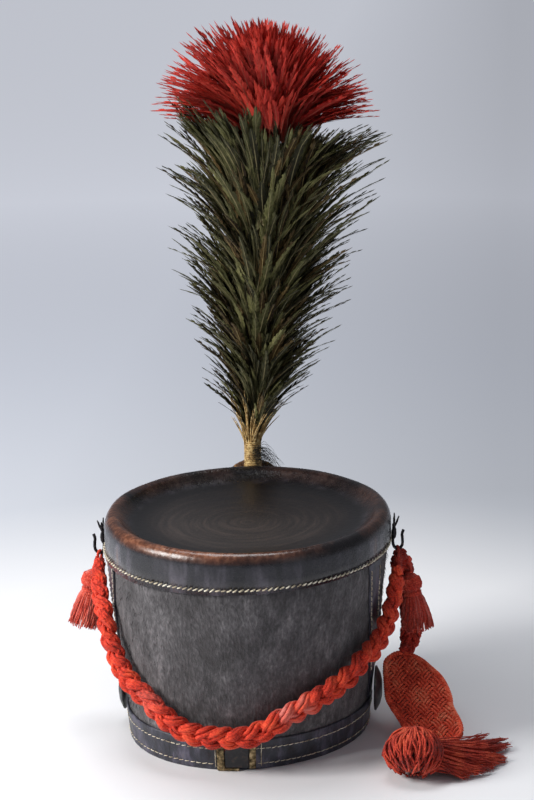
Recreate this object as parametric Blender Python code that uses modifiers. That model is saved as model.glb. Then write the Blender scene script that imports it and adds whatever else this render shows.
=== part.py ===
"""Shako hat with a tall feather plume and braided red cord, seen from behind in use.

Metres, +Z up. The origin is the middle of the head opening on the surface the hat stands on.
+Y points to the front of the hat, where the plume stands; +X is the side of the big tassel.
"""
import math

import bmesh
import bpy
import numpy as np
from mathutils import Matrix, Vector

# Main sizes of the hat
CROWN_RIM_Z = 0.1850
SKIRT_EDGE_Z = 0.1536
BAND_TOP_Z = 0.0255
FELT_THICK = 0.0022
LEATHER_THICK = 0.0018
GAP = 0.0003
STEPS = 48
FRONT_AZ = math.radians(94.0)

# Outer surface of the felt wall: height, mean radius
FELT_ROWS = [
    (0.0000, 0.0934),
    (0.0255, 0.0965),
    (0.1500, 0.1134),
    (0.1700, 0.1136),
]

# The hat has gone a little out of round: share of the radius, direction of the long axis in degrees
OVAL_BOTTOM = (0.056, 41.9)
OVAL_TOP = (0.0123, -74.3)

# The crown leans: rise per metre along X and along Y at full height
LEAN_X = 0.01454
LEAN_Y = 0.00997
LEAN_FULL_Z = 0.150
SKIRT_EDGE_SLOPE = 0.0276

# Soft dents and ridges of the felt: azimuth in degrees, height, half width in degrees, half height, depth
DENTS = [
    (-87.0, 0.112, 9.0, 0.050, -0.0012),
    (-72.0, 0.095, 12.0, 0.055, 0.0013),
    (-112.0, 0.100, 14.0, 0.045, 0.0012),
    (-40.0, 0.105, 12.0, 0.045, 0.0010),
    (-140.0, 0.080, 13.0, 0.050, -0.0009),
    (60.0, 0.090, 20.0, 0.050, 0.0014),
    (128.0, 0.105, 18.0, 0.045, 0.0012),
]


# Shared shapes
def material(name, colour, roughness, metallic=0.0):
    made = bpy.data.materials.new(name)
    made.use_nodes = True
    shader = made.node_tree.nodes["Principled BSDF"]
    shader.inputs["Base Color"].default_value = (*colour, 1.0)
    shader.inputs["Roughness"].default_value = roughness
    shader.inputs["Metallic"].default_value = metallic
    made.diffuse_color = (*colour, 1.0)
    return made


def soften(value):
    value = min(max(value, 0.0), 1.0)
    return value * value * (3.0 - 2.0 * value)


def felt_radius(z):
    return float(np.interp(z, [row[0] for row in FELT_ROWS], [row[1] for row in FELT_ROWS]))


def round_share(azimuth, z):
    """How far the wall is out of round at an azimuth and height, as a factor of the radius."""
    up = min(max(z / LEAN_FULL_Z, 0.0), 1.0)
    low = (1.0 - up) * OVAL_BOTTOM[0] * math.cos(2.0 * (azimuth - math.radians(OVAL_BOTTOM[1])))
    high = up * OVAL_TOP[0] * math.cos(2.0 * (azimuth - math.radians(OVAL_TOP[1])))
    return 1.0 + low + high


def dent_depth(azimuth, z):
    """Inward depth of the soft dents at a place of the wall."""
    depth = 0.0
    for centre, height, half_width, half_height, deep in DENTS:
        turn = (math.degrees(azimuth) - centre + 180.0) % 360.0 - 180.0
        share = 1.0 - (turn / half_width) ** 2 / 4.0 - ((z - height) / half_height) ** 2
        depth += deep * soften(share)
    fade = soften((z - BAND_TOP_Z) / 0.020) * soften((SKIRT_EDGE_Z - 0.012 - z) / 0.020)
    return depth * fade


def settle(azimuth, z, radius):
    """Place of a point given by azimuth, height and round radius, on the leaning uneven hat."""
    real = radius * round_share(azimuth, z) - dent_depth(azimuth, z)
    x = real * math.cos(azimuth)
    y = real * math.sin(azimuth)
    share = min(max(z / LEAN_FULL_Z, 0.0), 1.0)
    return Vector((x, y, z + share * (LEAN_X * x + LEAN_Y * y)))


def on_wall(azimuth, z, lift):
    """Place of a point lifted off the felt wall."""
    foot = settle(azimuth, z, felt_radius(z))
    out = Vector((math.cos(azimuth), math.sin(azimuth), 0.0))
    return foot + out * lift


def finish(name, mesh, skin, smooth=True):
    """Close, orient and name one body."""
    shape = bmesh.new()
    shape.from_mesh(mesh)
    bmesh.ops.remove_doubles(shape, verts=shape.verts, dist=0.00001)
    bmesh.ops.recalc_face_normals(shape, faces=shape.faces)
    for face in shape.faces:
        face.smooth = smooth
    shape.to_mesh(mesh)
    shape.free()
    mesh.name = name
    mesh.materials.clear()
    mesh.materials.append(skin)
    made = bpy.data.objects.new(name, mesh)
    hat.objects.link(made)
    return made


def mesh_of(verts, faces):
    mesh = bpy.data.meshes.new("draft")
    mesh.from_pydata([tuple(v) for v in verts], [], faces)
    mesh.update()
    return mesh


def evaluated(draft):
    """The mesh of a draft object with its modifiers applied; the draft is removed."""
    bpy.context.scene.collection.objects.link(draft)
    bpy.context.view_layer.update()
    graph = bpy.context.evaluated_depsgraph_get()
    mesh = bpy.data.meshes.new_from_object(draft.evaluated_get(graph))
    bpy.data.objects.remove(draft)
    return mesh


def turned(profile, steps):
    """Mesh of a profile of (radius, z) rows, top to bottom, turned round Z."""
    edges = [(i, i + 1) for i in range(len(profile) - 1)]
    if profile[0][0] > 0.0 or profile[-1][0] > 0.0:
        edges.append((len(profile) - 1, 0))
    outline = bpy.data.meshes.new("outline")
    outline.from_pydata([(r, 0.0, z) for r, z in profile], edges, [])
    draft = bpy.data.objects.new("turned_draft", outline)
    screw = draft.modifiers.new("turn", "SCREW")
    screw.steps = steps
    screw.render_steps = steps
    screw.use_merge_vertices = True
    screw.merge_threshold = 0.00001
    return evaluated(draft)


def turned_on_hat(name, profile, skin, edge_slope=0.0):
    """A turned shell moved onto the leaning, uneven hat."""
    mesh = turned(profile, STEPS)
    for vertex in mesh.vertices:
        x, y, z = vertex.co
        place = settle(math.atan2(y, x), z, math.hypot(x, y))
        if edge_slope and z < SKIRT_EDGE_Z + 0.004:
            place.z += edge_slope * x
        vertex.co = place
    return finish(name, mesh, skin)


def tube(points, radius, resolution=2):
    """Closed tube mesh through points."""
    curve = bpy.data.curves.new("line", "CURVE")
    curve.dimensions = "3D"
    curve.bevel_depth = radius
    curve.bevel_resolution = resolution
    curve.use_fill_caps = True
    spline = curve.splines.new("POLY")
    spline.points.add(len(points) - 1)
    for slot, point in zip(spline.points, points):
        slot.co = (*point, 1.0)
    mesh = evaluated(bpy.data.objects.new("tube_draft", curve))
    shape = bmesh.new()
    shape.from_mesh(mesh)
    bmesh.ops.remove_doubles(shape, verts=shape.verts, dist=0.00001)
    bmesh.ops.recalc_face_normals(shape, faces=shape.faces)
    shape.to_mesh(mesh)
    shape.free()
    return mesh


def smooth_line(route, count):
    """Evenly spaced points of a smooth curve through route points."""
    knots = [Vector(p) for p in route]
    knots = [knots[0] * 2 - knots[1]] + knots + [knots[-1] * 2 - knots[-2]]
    fine = []
    for i in range(1, len(knots) - 2):
        a, b, c, d = knots[i - 1:i + 3]
        for j in range(16):
            t = j / 16
            fine.append(0.5 * (2 * b + (c - a) * t + (2 * a - 5 * b + 4 * c - d) * t * t
                               + (3 * b - a - 3 * c + d) * t ** 3))
    fine.append(knots[-2])
    walked = [0.0]
    for a, b in zip(fine, fine[1:]):
        walked.append(walked[-1] + (b - a).length)
    marks = np.linspace(0.0, walked[-1], count)
    columns = [np.interp(marks, walked, [p[k] for p in fine]) for k in range(3)]
    return [Vector(p) for p in zip(*columns)]


def patch(place, columns, rows, skip=()):
    """Closed plate from a grid: place(column, row, side) gives the outer (1) and inner (0) points."""
    wide = len(columns)
    layers = []
    for side in (0, 1):
        layers.append([place(column, row, side) for row in rows for column in columns])
    first = {}
    shared = [first.setdefault(tuple(round(c, 6) for c in point), k) for k, point in enumerate(layers[0])]
    count = len(shared)
    faces = []
    rim = {}
    for j in range(len(rows) - 1):
        for i in range(wide - 1):
            if (i, j) in skip:
                continue
            corners = [j * wide + i, j * wide + i + 1, (j + 1) * wide + i + 1, (j + 1) * wide + i]
            quad = [shared[k] for k in corners]
            faces.append([count + k for k in quad])
            faces.append(quad[::-1])
            for a, b in zip(quad, quad[1:] + quad[:1]):
                if rim.pop((b, a), None) is None:
                    rim[(a, b)] = True
    faces += [[b, a, count + a, count + b] for a, b in rim]
    verts = layers[0] + layers[1]
    used = sorted({k for face in faces for k in face})
    new = {old: k for k, old in enumerate(used)}
    return mesh_of([verts[k] for k in used], [[new[k] for k in face] for face in faces])


def lock(points, widths, thick, flat, sides=6):
    """One feather or fringe lock: a flattened lofted body that tapers through its points."""
    verts = []
    count = len(points)
    for k, (point, width) in enumerate(zip(points, widths)):
        ahead = (points[min(k + 1, count - 1)] - points[max(k - 1, 0)]).normalized()
        across = ahead.cross(flat).normalized()
        up = across.cross(ahead).normalized()
        for s in range(sides):
            angle = 2.0 * math.pi * s / sides
            deep = thick * 0.5 * min(1.0, width / widths[count // 2] + 0.25)
            verts.append(point + across * math.cos(angle) * width * 0.5 + up * math.sin(angle) * deep)
    faces = [list(range(sides))[::-1], [(count - 1) * sides + s for s in range(sides)]]
    for k in range(count - 1):
        for s in range(sides):
            t = (s + 1) % sides
            faces.append([k * sides + s, k * sides + t, (k + 1) * sides + t, (k + 1) * sides + s])
    return mesh_of(verts, faces)


def fused(base, extras):
    """Union of a base mesh with further meshes, one after the other."""
    body = bpy.data.objects.new("fuse_base", base)
    helpers = []
    for mesh in extras:
        helper = bpy.data.objects.new("fuse_part", mesh)
        helper.hide_render = True
        helper.display_type = "WIRE"
        cutters.objects.link(helper)
        helpers.append(helper)
        union = body.modifiers.new("union", "BOOLEAN")
        union.operation = "UNION"
        union.solver = "EXACT"
        union.object = helper
    mesh = evaluated(body)
    for helper in helpers:
        bpy.data.objects.remove(helper)
    return mesh


# The scene is emptied and the collections made
for old in list(bpy.data.objects):
    bpy.data.objects.remove(old)
hat = bpy.data.collections.new("shako_hat")
bpy.context.scene.collection.children.link(hat)
cutters = bpy.data.collections.new("cutters")
cutters.hide_render = True
bpy.context.scene.collection.children.link(cutters)

felt_grey = material("felt_grey", (0.130, 0.126, 0.133), 0.95)
crown_black = material("crown_black_leather", (0.040, 0.038, 0.045), 0.38)
band_black = material("band_black_leather", (0.045, 0.046, 0.058), 0.45)
strap_black = material("strap_black_leather", (0.022, 0.022, 0.026), 0.50)
brass = material("aged_brass", (0.520, 0.330, 0.120), 0.35, 1.0)
iron_black = material("black_iron", (0.035, 0.034, 0.038), 0.45, 1.0)
boss_dark = material("boss_dark_leather", (0.055, 0.057, 0.060), 0.55)
cord_red = material("red_wool_cord", (0.560, 0.075, 0.040), 0.90)
plume_green = material("green_black_feather", (0.045, 0.055, 0.030), 0.80)
plume_red = material("red_feather", (0.360, 0.045, 0.035), 0.80)
quill_straw = material("straw_quill", (0.640, 0.480, 0.260), 0.70)
cockade_brown = material("cockade_brown", (0.130, 0.080, 0.055), 0.85)

# Felt body: outer rows top to bottom, then inner rows back up
FELT_TOP_Z = 0.1700
felt_profile = [(felt_radius(z), z) for z in (FELT_TOP_Z, 0.150, 0.125, 0.100, 0.075, 0.050, BAND_TOP_Z, 0.0006)]
felt_profile += [(felt_radius(z) - FELT_THICK, z) for z in (0.0006, BAND_TOP_Z, 0.075, 0.125, 0.150, FELT_TOP_Z)]
turned_on_hat("felt_body", felt_profile, felt_grey)

# Crown leather: dish, rolled shoulder and skirt, then the underside back to the middle
skirt_in = felt_radius(FELT_TOP_Z) + GAP
crown_profile = [
    (0.0000, 0.1728),
    (0.0450, 0.1731),
    (0.0700, 0.1737),
    (0.0850, 0.1750),
    (0.0945, 0.1772),
    (0.1005, 0.1805),
    (0.1045, 0.1837),
    (0.1085, CROWN_RIM_Z),
    (0.1118, 0.1841),
    (0.1143, 0.1815),
    (0.1157, 0.1775),
    (0.1161, 0.1730),
    (0.1161, 0.1650),
    (skirt_in + LEATHER_THICK, SKIRT_EDGE_Z),
    (skirt_in, SKIRT_EDGE_Z),
    (skirt_in + 0.0002, 0.1730),
    (0.1130, 0.1795),
    (0.1085, 0.1830),
    (0.1040, 0.1808),
    (0.0955, 0.1752),
    (0.0700, 0.1717),
    (0.0000, 0.1708),
]
turned_on_hat("crown_leather", crown_profile, crown_black, SKIRT_EDGE_SLOPE)

# Headband round the lower edge
band_in_low = felt_radius(0.0) + GAP
band_in_top = felt_radius(BAND_TOP_Z) + GAP
BAND_OUT_LOW = band_in_low + LEATHER_THICK
BAND_OUT_TOP = band_in_top + LEATHER_THICK
band_profile = [
    (band_in_top + 0.0004, BAND_TOP_Z + 0.0004),
    (BAND_OUT_TOP - 0.0005, BAND_TOP_Z + 0.0004),
    (BAND_OUT_TOP, BAND_TOP_Z - 0.0004),
    (BAND_OUT_LOW, 0.0006),
    (BAND_OUT_LOW - 0.0005, 0.0),
    (band_in_low, 0.0),
    (band_in_top, BAND_TOP_Z - 0.0004),
]
turned_on_hat("headband", band_profile, band_black)


def on_band(azimuth, z, lift):
    """Place of a point lifted off the headband."""
    share = z / BAND_TOP_Z
    foot = settle(azimuth, z, BAND_OUT_LOW + (BAND_OUT_TOP - BAND_OUT_LOW) * share)
    return foot + Vector((math.cos(azimuth), math.sin(azimuth), 0.0)) * lift


# Back strap and its brass: name, azimuth range in degrees, height range, lift, thickness
BACK_PIECES = [
    ("back_strap", -95.2, -84.6, 0.0032, 0.0225, 0.0003, 0.0022, strap_black),
    ("keeper_bar", -84.2, -81.2, 0.0020, 0.0236, 0.0003, 0.0026, brass),
]
for name, az_from, az_to, z_from, z_to, lift, thick, skin in BACK_PIECES:
    columns = [math.radians(az_from + (az_to - az_from) * k / 4) for k in range(5)]
    rows = [z_from, (z_from + z_to) / 2, z_to]
    finish(name, patch(lambda a, z, s: on_band(a, z, lift + thick * s), columns, rows), skin, False)

# Buckle: a T bar at the left of the strap with a thin rail below it
columns = [math.radians(a) for a in (-98.9, -97.2, -95.6, -92.2, -88.8)]
rows = [0.0004, 0.0027, 0.0115, 0.0215]
buckle = patch(lambda a, z, s: on_band(a, z, 0.0003 + 0.0026 * s), columns, rows,
               skip=[(i, j) for i in (2, 3) for j in (1, 2)])
finish("back_buckle", buckle, brass, False)


# Side chevrons: two strips that run down to one foot at the side
CHEVRON_WIDTH = math.radians(10.0)
CHEVRON_ROWS = [(0.1580, 23.6), (0.1500, 22.6), (0.1330, 20.2), (0.1140, 17.0), (0.0940, 13.4), (0.0740, 9.6),
                (0.0540, 5.0), (0.0390, 2.0), (0.0275, 0.0)]


def chevron(name, side_az):
    def place(column, row, side):
        z, spread = row
        offset = math.radians(spread)
        if column < 0:
            turn = min(-offset + column_turn[column], 0.0)
        else:
            turn = max(offset + column_turn[column], 0.0)
        edge = SKIRT_EDGE_Z + SKIRT_EDGE_SLOPE * felt_radius(z) * math.cos(side_az + turn)
        return on_wall(side_az + turn, min(z, edge - 0.0005), 0.0004 + 0.0013 * side)

    half = CHEVRON_WIDTH / 2
    column_turn = {-3: -half, -2: 0.0, -1: half, 1: -half, 2: 0.0, 3: half}
    finish(name, patch(place, [-3, -2, -1, 1, 2, 3], CHEVRON_ROWS,
                       skip=[(2, j) for j in range(len(CHEVRON_ROWS) - 1)]), band_black)


chevron("side_chevron_right", 0.0)
chevron("side_chevron_left", math.pi)

# Side bosses: domed discs that stand clear of the headband and the chevron foot
BOSS_RADIUS = 0.0185
BOSS_DEEP = 0.0062
BOSS_Z = 0.0312
BOSS_SLOPE = 0.022
boss_profile = [
    (0.0000, BOSS_DEEP),
    (0.0070, BOSS_DEEP - 0.0004),
    (0.0125, 0.0044),
    (0.0162, 0.0024),
    (BOSS_RADIUS, 0.0012),
    (BOSS_RADIUS - 0.0006, 0.0000),
    (0.0000, 0.0000),
]
for name, side_az in (("side_boss_right", 0.0), ("side_boss_left", math.pi)):
    out = Vector((math.cos(side_az), math.sin(side_az), 0.0))
    height = BOSS_Z + BOSS_SLOPE * out.x * felt_radius(BOSS_Z)
    reach = 0.0
    for turn in np.linspace(-0.19, 0.19, 21):
        for z in np.linspace(0.0100, 0.0540, 23):
            if z <= BAND_TOP_Z + 0.0004:
                point = on_band(side_az + turn, z, 0.0)
            else:
                point = on_wall(side_az + turn, z, 0.0017)
            if math.hypot(point.y, point.z - height) <= BOSS_RADIUS:
                reach = max(reach, point.dot(out))
    mesh = turned(boss_profile, 24)
    turn_out = Matrix.Rotation(math.radians(90.0), 4, "Y") if side_az == 0.0 else \
        Matrix.Rotation(math.radians(-90.0), 4, "Y")
    mesh.transform(Matrix.Translation(out * (reach + 0.0004) + Vector((0, 0, height))) @ turn_out)
    finish(name, mesh, boss_dark)

# Peak at the front: a thin crescent of leather that slopes down
PEAK_HALF = math.radians(56.0)
PEAK_REACH = 0.044
PEAK_THICK = 0.0022
PEAK_ROOT_Z = 0.0150


def peak_place(turn, share, side):
    azimuth = FRONT_AZ + turn * PEAK_HALF
    wide = PEAK_REACH * math.cos(turn * math.pi / 2) ** 0.8 + 0.0035
    root = on_band(azimuth, PEAK_ROOT_Z, 0.0005)
    out = Vector((math.cos(azimuth), math.sin(azimuth), 0.0))
    return root + out * (wide * share) + Vector((0, 0, -0.22 * wide * share + PEAK_THICK * side))


finish("peak", patch(peak_place, [k / 8 for k in range(-8, 9)], [0.0, 0.35, 0.7, 1.0]), crown_black)

# Cockade with the socket and the stem of the plume
front = Vector((math.cos(FRONT_AZ), math.sin(FRONT_AZ), 0.0))
SOCKET_OUT = 0.0094
SOCKET_IN = 0.0080
COCKADE_RADIUS = 0.0270
skirt_reach = max(settle(FRONT_AZ + t, z, 0.1162).dot(front)
                  for t in (-0.1, 0.0, 0.1) for z in (0.156, 0.165, 0.173))
stem_foot = front * (skirt_reach + GAP + SOCKET_OUT)
socket = turned([(SOCKET_IN, 0.160), (SOCKET_OUT, 0.160), (SOCKET_OUT, 0.126), (SOCKET_IN, 0.126)], 20)
socket.transform(Matrix.Translation(stem_foot))
finish("plume_socket", socket, strap_black)
cockade = turned([(0.0, 0.0034), (0.0110, 0.0034), (0.0245, 0.0024), (COCKADE_RADIUS, 0.0014),
                  (COCKADE_RADIUS, 0.0), (0.0, 0.0)], 32)
cockade.transform(Matrix.Translation(front * (skirt_reach + 2 * GAP + 2 * SOCKET_OUT) + Vector((0, 0, 0.1575)))
                  @ Matrix.Rotation(FRONT_AZ, 4, "Z") @ Matrix.Rotation(math.radians(90.0), 4, "Y"))
finish("cockade", cockade, cockade_brown)
stem = turned([(0.0, 0.2050), (0.0060, 0.2050), (0.0073, 0.1990), (0.0077, 0.1700), (0.0070, 0.1220),
               (0.0, 0.1220)], 16)
stem.transform(Matrix.Translation(stem_foot))
finish("plume_stem", stem, quill_straw)


# Plume: tiers of feather locks, lofted in one closed body like the scales of a cone
PLUME_DEEP = 0.72
LOCKS_ROUND = 9


def tiered(tiers, base, top):
    """Closed body of lock tiers; each tier runs foot, middle, tips and valleys, then back in."""
    around = LOCKS_ROUND * 2
    rings = [[(base[0], base[1], base[2])] * around]
    for k, (z_foot, r_foot, z_tip, r_tip, shift) in enumerate(tiers):
        last = k == len(tiers) - 1
        z_next = z_tip - 0.018 if last else tiers[k + 1][0]
        r_next = r_tip * 0.6 if last else tiers[k + 1][1]
        middle = []
        tips = []
        for s in range(around):
            if (s + k) % 2 == 0:
                middle.append((z_foot * 0.45 + z_tip * 0.55, r_foot * 0.40 + r_tip * 0.60, shift))
                tips.append((z_tip, r_tip, shift))
            else:
                middle.append(((z_foot + z_next) / 2 + 0.001, (r_foot + r_next) / 2 + 0.003, shift))
                tips.append((z_next - 0.001, r_next + 0.003, shift))
        rings += [[(z_foot, r_foot, shift * 0.9)] * around, middle, tips]
    rings.append([(top[0], top[1], top[2])] * around)
    verts = []
    for ring in rings:
        for s, (z, radius, shift) in enumerate(ring):
            angle = 2.0 * math.pi * s / around
            verts.append((stem_foot.x + shift + radius * math.cos(angle),
                          stem_foot.y + radius * PLUME_DEEP * math.sin(angle), z))
    faces = [list(range(around))[::-1], [(len(rings) - 1) * around + s for s in range(around)]]
    for k in range(len(rings) - 1):
        for s in range(around):
            t = (s + 1) % around
            faces.append([k * around + s, k * around + t, (k + 1) * around + t, (k + 1) * around + s])
    return mesh_of(verts, faces)


# Lower plume tiers: foot height, foot radius, tip height, tip radius, sideways shift
GREEN_TIERS = [
    (0.2100, 0.011, 0.2640, 0.040, 0.006),
    (0.2360, 0.020, 0.3000, 0.054, 0.010),
    (0.2720, 0.028, 0.3420, 0.063, 0.012),
    (0.3100, 0.036, 0.3850, 0.074, 0.014),
    (0.3500, 0.041, 0.4260, 0.084, 0.017),
    (0.3900, 0.046, 0.4610, 0.094, 0.020),
    (0.4150, 0.048, 0.4600, 0.070, 0.018),
]
finish("plume_lower", tiered(GREEN_TIERS, (0.2056, 0.0085, 0.0), (0.4627, 0.036, 0.018)), plume_green, False)

# Upper plume tiers, in the same order
RED_TIERS = [
    (0.4650, 0.050, 0.4900, 0.101, 0.020),
    (0.4740, 0.050, 0.5120, 0.093, 0.017),
    (0.4840, 0.044, 0.5360, 0.076, 0.015),
    (0.4950, 0.034, 0.5500, 0.048, 0.014),
    (0.5080, 0.019, 0.5570, 0.022, 0.012),
]
finish("plume_upper", tiered(RED_TIERS, (0.4632, 0.042, 0.019), (0.5250, 0.005, 0.012)), plume_red, False)

# Side hooks: a J, a stem with a swelling and a forked finial; the whole sits lower on the left
HOOK_X = 0.1206
HOOK_LOW_Z = 0.1487
HOOK_SLOPE = 0.036
HOOK_WIRE = 0.0013
HOOK_LINE = [(-0.0033, 0.0205), (-0.0038, 0.0085), (-0.0036, 0.0036), (-0.0023, 0.0010), (0.0, 0.0),
             (0.0023, 0.0010), (0.0037, 0.0036), (0.0038, 0.0085), (0.0034, 0.0125), (0.0046, 0.0158)]
PRONGS = [(-0.0030, 0.0050, 0.0283), (0.0010, -0.0008, 0.0276), (-0.0030, -0.0052, 0.0275)]
for name, sign in (("hook_right", 1.0), ("hook_left", -1.0)):
    low = Vector((sign * HOOK_X, 0.0, HOOK_LOW_Z + HOOK_SLOPE * HOOK_X * sign))
    line = smooth_line([low + Vector((sign * x, 0.0, z)) for x, z in HOOK_LINE], 20)
    swelling = bpy.data.meshes.new("swelling")
    shape = bmesh.new()
    bmesh.ops.create_uvsphere(shape, u_segments=10, v_segments=6, radius=1.0)
    shape.to_mesh(swelling)
    shape.free()
    swelling.transform(Matrix.Translation(low + Vector((sign * -0.0030, 0.0, 0.0135)))
                       @ Matrix.Diagonal((0.0022, 0.0026, 0.0055, 1.0)))
    fork_foot = low + Vector((sign * -0.0033, 0.0, 0.0170))
    prongs = []
    for x, y, z in PRONGS:
        tip = low + Vector((sign * x, y, z))
        middle = fork_foot.lerp(tip, 0.55) + Vector((sign * 0.0003, 0, 0))
        prongs.append(lock([fork_foot, middle, tip], [0.0024, 0.0022, 0.0008], 0.0018,
                           Vector((sign, 0.05, 0.3)).normalized()))
    finish(name, fused(tube(line, HOOK_WIRE, 1), [swelling] + prongs), iron_black)

# Cord loops: a ring through the hook and the wrapped neck below it. Name, sign of X, neck length
LOOP_WIDE = 0.0038
LOOP_HIGH = 0.0038
LOOP_CORD = 0.0015
for name, sign, neck_long in (("cord_loop_right", 1.0, 0.0085), ("cord_loop_left", -1.0, 0.0030)):
    low = Vector((sign * HOOK_X, 0.0, HOOK_LOW_Z + HOOK_SLOPE * HOOK_X * sign))
    middle = low + Vector((0, 0, HOOK_WIRE + GAP + LOOP_CORD - LOOP_HIGH))
    across = Matrix.Rotation(math.radians(15.0) * sign, 3, "Z") @ Vector((0.0, 1.0, 0.0))
    ring = []
    for k in range(16):
        turn = 2.0 * math.pi * k / 16
        ring.append(middle + across * (math.cos(turn) * LOOP_WIDE) + Vector((0, 0, math.sin(turn) * LOOP_HIGH)))
    verts = []
    for k, point in enumerate(ring):
        ahead = (ring[(k + 1) % 16] - ring[k - 1]).normalized()
        out = (point - middle).normalized()
        side = ahead.cross(out).normalized()
        for s in range(6):
            angle = 2.0 * math.pi * s / 6
            verts.append(point + out * math.cos(angle) * LOOP_CORD + side * math.sin(angle) * LOOP_CORD)
    faces = []
    for k in range(16):
        for s in range(6):
            t = (s + 1) % 6
            m = (k + 1) % 16
            faces.append([k * 6 + s, k * 6 + t, m * 6 + t, m * 6 + s])
    neck_top = middle.z - LOOP_HIGH + 0.0008
    neck = turned([(0.0, neck_top), (0.0028, neck_top), (0.0035, neck_top - 0.0015),
                   (0.0033, neck_top - neck_long), (0.0, neck_top - neck_long)], 12)
    neck.transform(Matrix.Translation((low.x, low.y, 0.0)))
    finish(name, fused(neck, [mesh_of(verts, faces)]), cord_red)

# Festoon: the plait that hangs from hook to hook across the back
FESTOON_ROUTE = [
    (-0.1208, -0.0040, 0.1378),
    (-0.1198, -0.0128, 0.1290),
    (-0.1174, -0.0236, 0.1216),
    (-0.1136, -0.0363, 0.1153),
    (-0.1086, -0.0498, 0.1069),
    (-0.1043, -0.0572, 0.0913),
    (-0.0892, -0.0759, 0.0687),
    (-0.0712, -0.0917, 0.0572),
    (-0.0537, -0.1010, 0.0440),
    (-0.0350, -0.1069, 0.0354),
    (-0.0105, -0.1101, 0.0333),
    (0.0127, -0.1083, 0.0349),
    (0.0303, -0.1049, 0.0440),
    (0.0462, -0.0994, 0.0521),
    (0.0663, -0.0883, 0.0614),
    (0.0825, -0.0752, 0.0698),
    (0.0957, -0.0608, 0.0803),
    (0.1057, -0.0446, 0.0877),
    (0.1121, -0.0314, 0.0979),
    (0.1158, -0.0230, 0.1084),
    (0.1187, -0.0137, 0.1194),
    (0.1204, -0.0060, 0.1300),
    (0.1204, -0.0022, 0.1385),
]
FESTOON_RADIUS = 0.0072
finish("festoon", tube(smooth_line(FESTOON_ROUTE, 30), FESTOON_RADIUS), cord_red)

# Hanging cord from the right hook down to the flounder
HANGING_ROUTE = [
    (0.1210, 0.0087, 0.1454),
    (0.1226, 0.0215, 0.1330),
    (0.1248, 0.0340, 0.1160),
    (0.1272, 0.0415, 0.0960),
    (0.1294, 0.0432, 0.0780),
    (0.1298, 0.0370, 0.0665),
    (0.1264, 0.0238, 0.0549),
]
finish("hanging_cord", tube(smooth_line(HANGING_ROUTE, 9), 0.0068), cord_red)


# Small tassels: a turned knot, head and lobed skirt along a leaning axis
def small_tassel(name, top, foot, flat, tie):
    length = (foot - top).length
    profile = [
        (0.0000, 0.000),
        (0.0024, -0.001),
        (0.0062, -0.004),
        (0.0078, -0.010),
        (0.0060, -0.0165),
        (0.0052, -0.0185),
        (0.0085, -0.0225),
        (0.0120, -0.034),
        (0.0140, -0.046),
        (0.0150, -length),
        (0.0000, -length),
    ]
    mesh = turned(profile, 20)
    for vertex in mesh.vertices:
        x, y, z = vertex.co
        lobes = 1.0 + 0.10 * math.cos(math.atan2(y, x) * 10) * soften((-z - 0.02) / 0.02)
        vertex.co = Vector((x * lobes, y * lobes * flat, z))
    axis = (top - foot).normalized()
    mesh.transform(Matrix.Translation(top) @ Vector((0, 0, 1)).rotation_difference(axis).to_matrix().to_4x4())
    thread = tube(smooth_line([top - axis * 0.006, top + axis * 0.002] + [Vector(p) for p in tie], 6), 0.0015, 1)
    finish(name, fused(mesh, [thread]), cord_red)


small_tassel("small_tassel_left", Vector((-0.1268, 0.0068, 0.1277)), Vector((-0.1372, 0.0068, 0.0756)), 0.80,
             [(-0.1255, 0.0062, 0.1345), (-0.1237, 0.0045, 0.1394)])
small_tassel("small_tassel_right", Vector((0.1289, 0.0176, 0.1268)), Vector((0.1368, 0.0195, 0.0757)), 0.72,
             [(0.1303, 0.0161, 0.1312)])

# Flounder: a flat woven knot that leans from the cord down to the floor
FLOUNDER_ORIGIN = Vector((0.1348, -0.0370, 0.0122))
FLOUNDER_ACROSS = Vector((0.9945, 0.1045, 0.0))
FLOUNDER_UP = Vector((-0.0859, 0.8177, 0.5692))
FLOUNDER_OUT = Vector((0.0595, -0.5661, 0.8222))
# Edges of the flounder: height along the slope, left edge, right edge, half thickness
FLOUNDER_ROWS = [
    (-0.0090, 0.0150, 0.0330, 0.0020),
    (-0.0035, 0.0000, 0.0390, 0.0032),
    (0.0029, -0.0074, 0.0398, 0.0035),
    (0.0090, -0.0100, 0.0385, 0.0035),
    (0.0162, -0.0136, 0.0356, 0.0035),
    (0.0230, -0.0172, 0.0333, 0.0035),
    (0.0315, -0.0203, 0.0328, 0.0035),
    (0.0410, -0.0210, 0.0303, 0.0035),
    (0.0507, -0.0211, 0.0260, 0.0035),
    (0.0597, -0.0210, 0.0185, 0.0035),
    (0.0676, -0.0195, 0.0108, 0.0032),
    (0.0735, -0.0120, 0.0000, 0.0020),
]
verts = []
for v, left, right, half in FLOUNDER_ROWS:
    section = [(left, 0.0), (left + 0.003, half), ((left + right) / 2, half), (right - 0.003, half),
               (right, 0.0), (right - 0.003, -half), ((left + right) / 2, -half), (left + 0.003, -half)]
    verts += [FLOUNDER_ORIGIN + FLOUNDER_ACROSS * u + FLOUNDER_UP * v + FLOUNDER_OUT * w for u, w in section]
last = (len(FLOUNDER_ROWS) - 1) * 8
faces = [list(range(8)), [last + s for s in range(8)][::-1]]
for k in range(len(FLOUNDER_ROWS) - 1):
    for s in range(8):
        faces.append([k * 8 + s, (k + 1) * 8 + s, (k + 1) * 8 + (s + 1) % 8, k * 8 + (s + 1) % 8])
finish("flounder", mesh_of(verts, faces), cord_red)

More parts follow.
